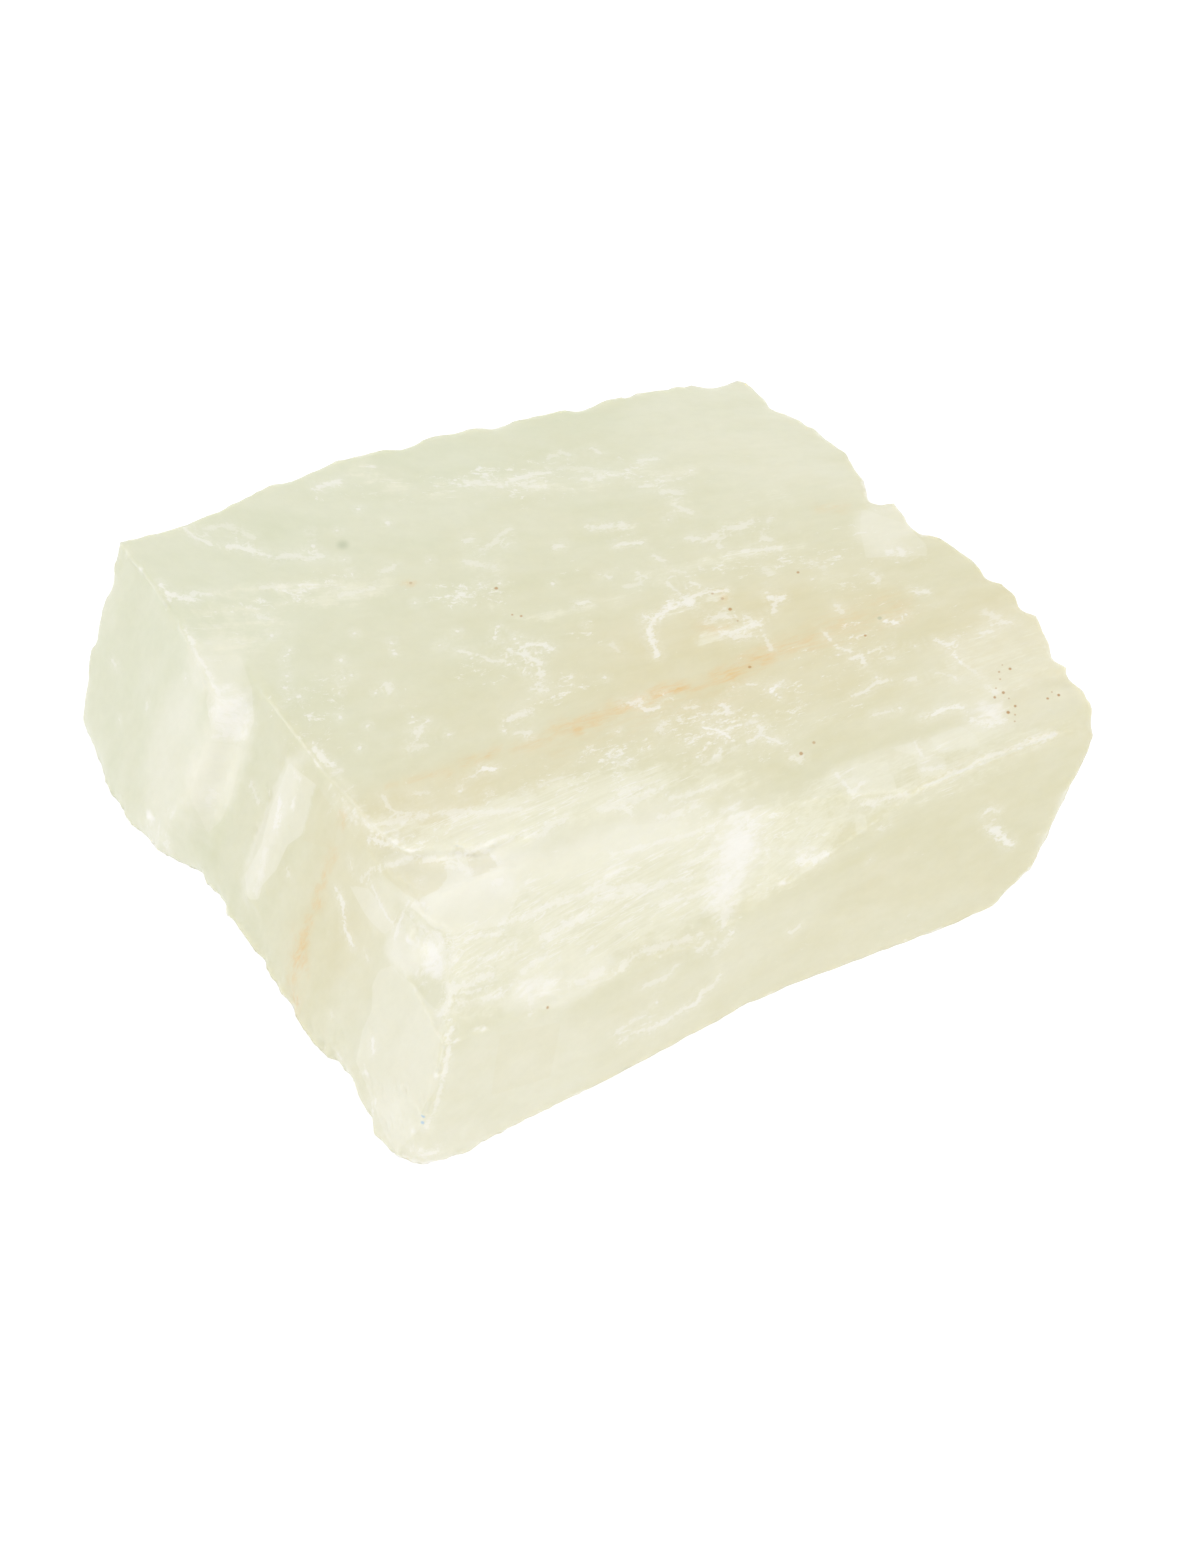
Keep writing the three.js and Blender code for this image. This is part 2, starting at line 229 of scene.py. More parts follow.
# the same on the bevel, the ledges and the sides: width, strength, then X, Y and Z
SIDE_SPLINTERS: Rows = (
    (0.5, 0.7, -46.4, 24.9, 30, -46.1, 22.8, 30, -46.2, 20.6, 29.6, -45.7, 18.6, 29.2, -45.6, 16.1,
     28.6, -45.2, 14.6, 28.2),
    (0.7, 0.5, 18.8, -21.4, 30, 19.8, -22.1, 29.8, 20.2, -21.6, 30),
    (0.8, 0.55, -35, -18.5, 27.3, -33.3, -19.3, 28.3, -31.1, -19.4, 28.9),
    (0.7, 0.55, -29.6, -20.1, 28.3, -27.9, -20.8, 28.3, -25.7, -21.2, 28.3, -23, -21.9, 29.9,
     -20.1, -21.3, 30, -16, -20.9, 28.3),
    (0.8, 0.5, -17.3, -20.8, 28.7, -14.9, -21.4, 28.3, -12.5, -20.6, 29.2, -11.2, -20.7, 29.8),
    (0.5, 0.5, -23, -21.9, 29.6, -21.6, -22.4, 28.3, -21.1, -23.9, 28.3),
    (1, 0.55, -27.1, -22.4, 28.3, -25.6, -22.6, 28.3, -25, -23.9, 28.3),
    (1, 0.45, -6.6, -20.7, 30, -3.7, -20.7, 30, -0.1, -20.9, 29.8),
    (0.6, 0.5, -6.1, -21.2, 30, -4.8, -21.2, 29.9, -3.5, -21.7, 29.5, -3.2, -22.4, 29),
    (0.6, 0.45, 2.5, -21.9, 29.2, 6.2, -22.2, 29.6, 8.3, -22.3, 30),
    (0.8, 0.55, -29.3, -30.6, 24.5, -26.9, -30.9, 24.4, -23.7, -31.1, 24.1),
    (0.8, 0.55, -23.4, -30.3, 24.6, -19.3, -30.1, 24.6, -16.2, -29.6, 24.7, -15, -29.1, 25.2),
    (1, 0.62, -18.3, -32.6, 22.7, -16.1, -32.1, 23, -13.2, -31.5, 23.3, -10.5, -31.2, 23.6),
    (0.7, 0.5, -19.2, -29.8, 24.8, -15.1, -29.3, 24.9, -9.7, -29.2, 24.6, -4.6, -29.8, 23.8),
    (0.8, 0.5, -27.1, -33.3, 22.8, -24.5, -33.3, 22.6, -21.6, -32.8, 22.8),
    (0.9, 0.6, -31.2, -35.5, 21.5, -28.5, -35.4, 21.4, -26.4, -35.1, 21.5),
    (0.8, 0.5, -22.4, -35.5, 20.9, -20.9, -35.1, 21.2, -19, -34.6, 21.4),
    (0.7, 0.5, -31.1, -37.1, 20.4, -28.5, -37.1, 20.2, -25.9, -37.3, 19.9),
    (0.8, 0.5, -22.2, -38.3, 19.3, -22.8, -39.6, 17.6),
    (1, 0.5, -16.8, -37.8, 19, -14.2, -37.8, 18.9, -12.4, -37.3, 19.1),
    (0.7, 0.5, -10.1, -37.5, 18.8, -7, -36.4, 19.4, -1.7, -36.4, 19.1, 1.1, -36.2, 19.1),
    (0.9, 0.5, -10.1, -28.7, 25.2, -7.7, -28, 25.3, -6.2, -27.6, 25.5),
    (0.6, 0.5, -7.2, -26, 26.7, -2, -26.1, 26.6, 3.4, -26.1, 26.3, 6.1, -26, 26.8),
    (0.8, 0.5, 0.4, -23.5, 28, 3, -23.5, 28.1, 5.6, -23.6, 28.3),
    (0.9, 0.5, -10.1, -30.2, 23.9, -3.5, -30.4, 23.6, 1.9, -30.2, 23.2),
    (0.7, 0.45, 1.1, -28.8, 24.5, 3.8, -28.8, 24.3, 5.6, -28.3, 25),
    (0.6, 0.5, -2.8, -32.2, 22.1, 1.2, -32.1, 21.9, 3.9, -31.9, 21.9),
    (0.8, 0.55, -22.6, -26.1, 27.5, -21.4, -26, 27.5),
    (1.2, 0.6, 5, -33.5, 20.9, 5.4, -34.7, 20.1, 4.4, -35.4, 19.4),
    (1.1, 0.8, 15.7, -32.7, 23.4, 17.3, -32.8, 23.6, 19, -32.8, 23.9),
    (0.5, 0.55, 23.5, -24.7, 28.3, 24.1, -26.7, 28.3, 24.4, -28.2, 28.3, 26.1, -27.1, 28.3),
    (0.8, 0.55, 24.9, -29.5, 27.4, 26.7, -30, 27.4, 28.2, -29.9, 27.7, 30.7, -30.3, 27.8),
    (0.6, 0.45, 26.7, -31.9, 24.5, 27.9, -31.8, 24.5),
    (0.7, 0.6, 38.1, -29.5, 28.3, 40.7, -28.9, 28.3, 42.3, -28.4, 28.3, 44.5, -28.4, 28.3),
    (0.5, 0.5, 44.6, -28.2, 28.3, 47.1, -28.1, 28.3, 50, -28.3, 28.1),
    (0.8, 0.5, 34.3, -27.8, 28.3, 36.8, -28.4, 28.3, 37, -29.6, 28.3),
    (0.45, 0.5, 34.6, -23.3, 28.3, 34.8, -25.9, 28.3),
    (0.45, 0.42, 33.3, -30.4, 27.7, 34.1, -30, 28.3, 36.2, -29.9, 28.3),
    (1.1, 0.8, 42.5, -31.6, 17.6, 43.7, -31.9, 15.8, 44.7, -32.1, 14.2),
    (0.7, 0.65, 41.3, -31.1, 20.5, 42.2, -30.8, 21, 43.3, -30.9, 20.1),
    (0.5, 0.4, 41.2, -31.6, 18.5, 42.8, -31.4, 18.2),
    (1.2, 0.72, 42.8, -22.5, 28.3, 44.4, -23.4, 28.3, 46.3, -23.7, 28.3),
    (0.9, 0.72, 48.5, -27.9, 28.3, 50.3, -28.2, 28.3, 51.9, -27.9, 28.3),
    (0.35, 0.5, 13.8, -36.1, 13.4, 15, -35.8, 14), (0.9, 0.5, 0.8, -36.9, 17, 1.7, -36.6, 17.7),
    (1.2, 0.42, 3.2, -36.9, 15.6, 4.6, -36.5, 16.6),
    (0.5, 0.5, -12.1, -40, 10.1, -9.5, -39.6, 10.6, -7.4, -39.3, 10.9),
    (0.8, 0.66, 0.3, -38.4, 10.5, -0.5, -38.7, 9.5, -2.3, -39, 9.4),
    (0.9, 0.6, -2.3, -39, 9.4, -4.9, -39.4, 8.8, -7.2, -39.8, 8.5),
    (0.7, 0.55, -7.2, -39.8, 8.5, -9.6, -40, 9, -11.4, -40.4, 8.2),
    (0.6, 0.5, 3.2, -37.7, 11.9, 2, -38.1, 10.9, 0.9, -38.3, 10.6),
    (0.6, 0.45, -7.7, -38.3, 15.3, -4.9, -38, 15.1, -2.7, -37.5, 16.2),
    (1, 0.7, -34.8, -14.8, 28.6, -33.7, -16.6, 29.3, -32.3, -17.6, 30),
    (0.5, 0.6, -39.3, -13.3, 18.9, -39.3, -14.1, 18.3),
    (0.7, 0.75, -39, -14.5, 18.9, -39.1, -15.6, 18.2, -39.3, -16.3, 17.1),
    (0.7, 0.7, -39.6, -17.3, 15.8, -39.5, -18.6, 15.4, -39.3, -19.7, 15.2),
    (0.4, 0.5, -37.4, -13.7, 23.8, -37.5, -14.5, 23.2),
    (0.5, 0.45, -35.8, -17.4, 26.2, -36.9, -16.7, 23.5),
    (0.4, 0.4, -38.4, -22.2, 16.1, -38.3, -23.3, 15.8),
    (0.5, 0.55, -36.2, -18.6, 24.2, -36, -21, 23.5, -35.6, -23.7, 23),
    (1.1, 0.66, -31.8, -34.7, 21.5, -32.2, -36.6, 20.8, -33.8, -37.2, 19.4),
    (0.9, 0.55, -34.1, -24.7, 26, -33.2, -24.7, 26.8, -31.9, -26.3, 27.9),
    (0.5, 0.6, -35.8, -25.3, 21.5, -35.1, -25.1, 23.5, -34.1, -24.8, 25.3),
    (0.9, 0.72, -33.8, -39.9, 18.6, -33, -39.4, 18.9),
    (0.7, 0.66, -33.9, -40.9, 17.8, -34.5, -41.5, 15.7, -35.1, -42, 13.7),
    (0.5, 0.55, -35.6, -42.4, 12.2, -36.7, -43, 10.3, -38, -43.5, 6.6),
    (0.7, 0.72, -40, -30.3, 8.6, -40.2, -31.2, 7.8), (0.6, 0.6, -41.8, -35.3, 2.7, -42, -36, 1.9),
    (1, 0.66, -38.6, -44, 2.2, -37.2, -44.7, 2.9),
    (0.4, 0.5, -42.7, -25.8, 2.4, -42.5, -26.8, 2.3),
    (0.5, 0.4, -42.3, -22.3, 5.4, -42.2, -22.8, 5.3),
    (1, 0.6, -43, 12.9, 27.1, -42.8, 12.6, 25.2, -43.5, 12.2, 22.2),
    (0.8, 0.62, -44.5, 12.7, 25, -45.1, 12.4, 23.2),
    (0.7, 0.5, -47, 12.4, 22.8, -46.4, 12.4, 22.9),
    (1, 0.42, -47.9, 11.1, 14.3, -48.3, 10.9, 12.7),
    (1.2, 0.75, -42, 0.6, 21.6, -42.5, 0, 19.7, -43, -0.5, 18.2),
    (1, 0.45, -43.8, 6.9, 18.3, -43.6, 4.9, 17.5),
    (0.6, 0.42, -42.8, -4.4, 14.2, -42.9, -5.1, 13.6),
    (1.2, 0.4, -44.6, -0.4, 13.9, -45.4, -1.2, 11.2, -46.4, -1.6, 8.1),
    (0.6, 0.55, -53, 35.1, 15.6, -52.9, 34.3, 15.7),
    (0.4, 0.45, -51.6, 26, 16.8, -51.9, 25.6, 15.7),
)

# single crumbs: width, X, Y, and Z where they are not on the top face
CRUMBS: Rows = (
    (0.37, -26.5, 32.7), (0.37, -18.9, 36.9), (0.34, -16.1, 33.3), (0.37, -22.7, 34.3),
    (0.34, -26, 35.3), (0.37, -23.3, 26.4), (0.37, -17.3, 19.2), (0.31, 18.1, 21.5),
    (0.31, 23.8, 28.6), (0.31, -26.2, 17), (0.46, -22.3, 14), (0.31, -22.5, 12),
    (0.43, -16.8, 11.4), (0.31, -29.3, 13.3), (0.37, -30.3, 10.1), (0.31, -31.2, 8.1),
    (0.31, -28.8, 10.4), (0.28, -27, 6.6), (0.37, -29.6, 1.8), (0.31, -32.5, 4.3),
    (0.25, -23.9, 1.2), (0.28, -22.2, 0), (0.37, -20.5, -3.1), (0.37, -31.8, -1.4),
    (0.28, -13.8, 12.8), (0.37, -8.7, 11.7), (0.46, -9.7, 10.1), (0.4, -7.1, 9.7),
    (0.37, -9.5, 5.3), (0.37, -7.8, 4), (0.31, -8.3, 3.3), (0.31, -13.7, -5), (0.37, -11.1, -7.2),
    (0.34, -22.3, -12.4), (0.31, -19, -13.7), (0.31, -14.7, -15.3), (0.37, 13.6, 35.7),
    (0.31, 1.2, -1), (0.25, 2, 8.2), (0.28, 16, -8), (0.31, 20.8, -11.6), (0.31, -0.3, -9.9),
    (0.31, 7.2, -6.1), (0.31, 7.7, -17.4), (0.37, 34.5, -18.5), (0.31, 44.8, -11.5),
    (0.31, 33.6, -12.8), (0.25, 37.4, -8.3), (0.25, 40.1, -9.5), (0.31, 43, -16.3),
    (0.37, 41, -4.2), (0.31, 43.2, -0.5), (0.31, -36.1, 9.3), (0.5, -37.5, 11.3),
    (0.28, -34.9, 17.1), (0.28, -36.2, 15.8), (0.31, -36.3, 20.1), (0.28, -36.6, 13.1),
    (0.31, -37.6, 9.3), (0.25, -38.9, 8.7), (0.31, -36.1, 23.5), (0.31, 5.5, -36.1, 17.6),
    (0.31, -6, 18.7), (0.31, 0.4, 16.3), (0.31, -8.4, 19.5), (0.31, -13.1, 25.4),
    (0.25, -23.4, 29.2), (0.25, -54.4, 30, 9.9), (0.25, -47.8, 20.6, 25.9),
    (0.25, -31.3, -22.9, 28.3), (0.31, -1.1, -38.7, 9.8), (0.22, 13.3, -36.1, 13.8),
    (0.25, -8.6, -36.4, 19.5), (0.22, 25.1, -33.1, 20.4), (0.31, -5.9, -38.8, 12.1),
)

SPLINTERS: tuple[Line, ...] = (
    *lines_of(TOP_SPLINTERS, 2),
    *lines_of(SIDE_SPLINTERS, 3),
    *(Line(row[0], CRUMB_STRENGTH, corners_of(row[1:], 3) * 2) for row in CRUMBS),
)

# soft markings along lines on the top face: width, strength, then X and Y of each corner
TOP_VEINS: dict[Mark, Rows] = {
    Mark.VEIL: (
        (1.5, 0.95, -17, 42.7, -15.9, 41, -14.4, 39.5, -12.6, 38.5, -10.4, 37, -8.1, 35.8, -6.1,
         35.6),
        (1.2, 0.8, -15.8, 44.5, -15.1, 42.4, -14.1, 40.7),
        (1.5, 0.85, -7.8, 36.6, -4.5, 36.3, -1.5, 35.2, 2.3, 34.1, 5.2, 32.6, 8.1, 31, 11.4, 30),
        (2.2, 0.6, 12.3, 31.3, 17.4, 30.2, 23.8, 28.6),
        (1.4, 0.6, 19.1, 26.6, 19.9, 23.5, 21, 21.1),
        (2.6, 0.5, 32.9, 25.7, 33.1, 22.5, 32.9, 19.8),
        (1.5, 0.95, -41.2, 29.5, -38.4, 28.8, -35.1, 28.4, -32.1, 27.3, -30.4, 26.3),
        (1.7, 1, -32.6, 24.9, -30, 23.6, -26.3, 22.6, -23.7, 22.2, -21.5, 23, -19.8, 23.3),
        (1.9, 0.85, -30.2, 26.9, -26.7, 25.3, -24.3, 24.3, -21.6, 23.5),
        (2.8, 0.85, -44.1, 27.3, -40.9, 25.1, -37.4, 23.1, -34.6, 22),
        (2.4, 0.7, -44.1, 23.7, -41.5, 21.3, -37.7, 19.9),
        (1.6, 0.5, -29.2, -1.8, -27.5, -4.5, -24.3, -5.9),
        (1, 0.9, -8, 15.2, -7.1, 13.5, -6.1, 12.4, -4.4, 11.6, -2.4, 11.4, 0.3, 11, 3.6, 11),
        (1.3, 0.7, 1.3, 10.4, 4.8, 10.6, 7.8, 10.7, 10.7, 11.3, 13.7, 12),
        (0.9, 0.85, 11.1, 13.9, 13.3, 13.5, 15.5, 13.2, 17.9, 12.9, 20.1, 13),
        (1.6, 0.6, -8.6, 23.5, -7, 23.2, -4.9, 21.6), (0.5, 0.8, 11.8, 22.3, 15, 21.7, 17.8, 20.8),
        (0.5, 0.7, 4.5, 23.1, 6.7, 21.5, 8.5, 20.1),
        (0.5, 0.9, 8.5, 20.1, 10.2, 19.5, 12.4, 19.5, 15.4, 19.1, 18.5, 18.3),
        (1.1, 0.9, 19.9, 12.4, 22.2, 12.6, 25.4, 12.7, 28.6, 12.3, 32.2, 11.4),
        (0.6, 0.7, 31.5, 16.2, 32.4, 14.8, 33.3, 13.7, 36.3, 10.8, 39.9, 9.3),
        (1.2, 0.5, 23.8, 19.4, 26.5, 17.5, 29.5, 18.2),
        (0.6, 1, 11.1, 5.7, 13.1, 5.8, 15.7, 6.2, 18.3, 6.6, 20.4, 6.5),
        (1.2, 1, 14.9, 1.1, 16.9, 1.1, 19.5, 0.7, 21.5, 0.5, 22.6, 0.7),
        (0.35, 0.8, 29.3, 4.2, 30.8, 4.2, 31.8, 2.9),
        (1, 0.8, 31.9, 5.4, 34.6, 4.6, 36.8, 4.7, 38.7, 4.8), (0.7, 0.6, 39.5, 1.2, 42.8, 0.7),
        (1.4, 0.6, -4.6, -15.1, -1.4, -15.5, 0.7, -15.3),
        (2.2, 0.85, -6.3, -19.8, -2.2, -19.5, 1.6, -20.2, 6.5, -21.3, 11.4, -22.4),
    ),
    Mark.FROST: (
        (1.7, 0.53, 16.7, 31.2, 18.5, 30.9, 20, 28.9, 22.1, 27.9),
        (1.3, 0.36, -28.4, -1.2, -28.1, -3.1, -29.4, -4.6), (1.3, 0.31, 30.9, -0.5, 30.7, -2.1),
        (1.4, 0.42, 54.3, -13.6, 55.5, -14, 55.2, -15.3),
        (1.5, 0.64, -36, -3.4, -35.3, -6.1, -35, -9.3),
    ),
    Mark.IRON: (
        (0.5, 0.42, -30.9, -8.5, -29.5, -8.7), (0.6, 0.42, -27.9, -8.6, -24.9, -8.6, -23, -9),
        (0.6, 0.6, -20.5, -8.1, -18.4, -8, -16, -7.8), (1.1, 0.38, -13, -7.9, -9.2, -8.6),
        (1.1, 0.96, -7.5, -6.7, -6.1, -6.7, -5.2, -7.9),
        (1.1, 0.72, -4.3, -6.8, -1.7, -7.1, 1.3, -6.4, 4.2, -6.6),
        (0.9, 1, 6.1, -5.8, 7.8, -5.6, 9.8, -5.9), (1.3, 0.6, 10.6, -6.6, 12.5, -6.6, 14.7, -5.9),
        (1.3, 0.78, 15, -5.9, 17, -5.7, 19.4, -5, 21.8, -4.4),
        (1.4, 0.54, 22.3, -4.4, 25.2, -3.9, 28.1, -4.2),
        (2.6, 0.29, 28.6, -3.9, 34.9, -2.9, 40.2, -2.7), (0.9, 0.36, 15.6, 2.5, 18.7, 1.5),
        (0.4, 0.48, 19.9, 7.3, 20, 5.8),
        (3.2, 0.16, -7.9, -9.6, -2.2, -8.5, 6.2, -7.7, 14.2, -7.9),
        (0.5, 0.66, -17.3, 22.8, -16.1, 22.3), (0.8, 0.3, 37.2, 16.7, 40.3, 15.6),
    ),
}

# the same elsewhere: width, strength, then X, Y and Z
SIDE_VEINS: dict[Mark, Rows] = {
    Mark.VEIL: (
        (2, 1, -34.4, -13.8, 29.7, -31.3, -15.5, 30, -26.2, -16, 30, -21.4, -17.4, 30, -16.6,
         -18.8, 30, -11.5, -19.6, 30, -7.5, -19.3, 30),
        (1.8, 1, -32.2, -18.1, 30, -28.8, -19.7, 29.8, -25.2, -20.8, 30, -21.2, -20.6, 30, -16,
         -20.7, 28.8, -12.4, -20.6, 29.5, -6.5, -20.4, 30),
        (1.6, 0.7, -3.9, -20.6, 30, 1.2, -21.2, 29.5, 6.2, -22, 29.8, 11.4, -22.6, 29.1, 16.6,
         -23.1, 28.3),
        (2.6, 1, -28.5, -29.9, 25.3, -20.6, -29.8, 24.8, -12.4, -29.3, 24.7, -4.2, -28.7, 24.6,
         4.1, -27.8, 25),
        (2.6, 1, -31.4, -34.4, 21.9, -22.2, -34.3, 21.8, -14, -33.7, 21.7, -8.5, -33.2, 21.7, -0.3,
         -32.7, 21.6),
        (2.4, 1, -32.6, -37.6, 20.2, -24.7, -37.5, 19.7, -17.9, -37, 19.6, -12.5, -36.7, 19.5),
        (2.4, 1, -19.3, -26.3, 27.2, -11.1, -25.8, 27.1, -2.9, -25.2, 27, 5.1, -25, 27.3),
        (2, 0.8, -6.2, -34.2, 20.9, -2.1, -33.7, 21, 2.1, -33.3, 21.3),
        (1.8, 0.8, 12.7, -30, 24.9, 16.8, -29.7, 25.8, 20.9, -29.4, 26.8, 25, -29.1, 27.7),
        (1.4, 0.7, 14.9, -27.5, 27.1, 19, -27.3, 28.1, 23.4, -26.4, 28.3),
        (1.8, 0.7, 23.1, -25.5, 28.3, 27.8, -25.4, 28.3, 32.8, -26.4, 28.3, 37.8, -27.7, 28.3),
        (0.6, 0.5, 29.6, -31.6, 24.7, 35.2, -31, 24.2, 43.7, -30.3, 22.4),
        (0.7, 0.6, 41.4, -31.5, 18.6, 44.9, -31.2, 17.9, 50.6, -30.9, 16.2),
        (0.6, 0.5, 21.2, -33.1, 22.4, 22.4, -32.8, 23.1, 24.1, -32.5, 23.5),
    ),
    Mark.FROST: (
        (1.3, 0.47, -24.2, -37, 20.7, -22.6, -37, 20, -22.2, -38.3, 19.3),
        (2.3, 0.81, 9.5, -25.9, 27.5, 11.2, -27.3, 26.7, 10.5, -28.8, 25.4, 8.9, -30, 24.3),
        (2, 0.77, 8.9, -30, 24.3, 7.6, -31.2, 23.1, 5.5, -32.2, 22, 4.1, -33.1, 21.6),
        (1.4, 0.59, 9.3, -23.9, 28.3, 10.4, -25.2, 28.1),
        (1.3, 0.61, 11.5, -29.6, 25, 12.1, -30.8, 24.2, 9.6, -31.8, 23),
        (1.5, 0.64, 13.6, -31, 24.3, 16.1, -31.6, 24.3, 18.5, -32.5, 24),
        (1.4, 0.51, 5, -29.7, 23.8, 6, -28.4, 24.9, 7.2, -27.3, 26),
        (1.4, 0.51, 3.2, -32.3, 21.7, 4.5, -31.1, 22.7),
        (1.6, 0.68, 43.1, -21, 28.6, 45, -21.1, 28.3, 45.8, -22.5, 28.3),
        (1.4, 0.53, 49.5, -26.3, 28.3, 50.5, -27, 28.3, 51.6, -27.1, 28.3),
        (1.3, 0.61, -36.7, -8, 29.2, -36.1, -10.2, 29.1, -35.3, -12.4, 29.2),
        (1.6, 0.68, -34.9, -12.8, 29.6, -33.8, -15.2, 29.9, -32.7, -16.4, 30),
        (1.9, 0.81, -33.4, -26, 25.9, -32.6, -28, 25.2, -31.8, -28.8, 24.3),
        (2.2, 0.85, -32.3, -28.6, 23.5, -31.6, -30.1, 22.5, -31.9, -31.3, 22.1),
        (1.5, 0.64, -34.3, -31.1, 20.2, -33.8, -32.8, 20.3, -33.8, -34.3, 20),
        (1.3, 0.68, -30.6, -29.9, 23.5, -30.1, -31.3, 23.6, -31.3, -33.3, 22.2),
        (1.5, 0.51, -41.5, -40.1, 1.7, -40.2, -42.6, 3.2, -39.3, -42.9, 4.8),
        (2, 0.53, -45.2, 13.7, 28, -44.2, 12.9, 26.2, -44.9, 12.5, 23.8),
        (1.4, 0.59, -52.3, 13.3, 10.4, -52.6, 13.8, 7.2, -52.8, 14.2, 5.2),
        (1.4, 0.51, -40, -0.2, 26.7, -40, -1.8, 25.6, -41.5, -1.9, 21.4),
    ),
    Mark.IRON: (
        (0.6, 0.6, -36.9, -9.3, 27.8, -37.2, -9.9, 26.7),
        (0.9, 0.48, -38.7, -10.3, 22.2, -39.4, -10.5, 20.3),
        (0.6, 0.72, -39.9, -10.5, 18.7, -40.2, -10.8, 17.7),
        (0.9, 0.5, -40.5, -11.1, 16.9, -41.4, -11.5, 14.2),
        (0.9, 0.9, -42.2, -11.5, 11.8, -43, -12, 9.4),
        (1.2, 1, -43.5, -12.1, 8.1, -44, -12.6, 6.4, -43.7, -14.1, 6.4),
        (1.3, 0.72, -44.4, -13.1, 4.8, -45.2, -13.6, 2.3, -45.3, -15.3, 1.2),
        (2.2, 0.24, -43.7, -11.2, 7.9, -45.6, -16, 0.1),
    ),
}

VEINS: dict[Mark, tuple[Line, ...]] = {
    mark: (*lines_of(rows, 2), *lines_of(SIDE_VEINS[mark], 3)) for mark, rows in TOP_VEINS.items()
}

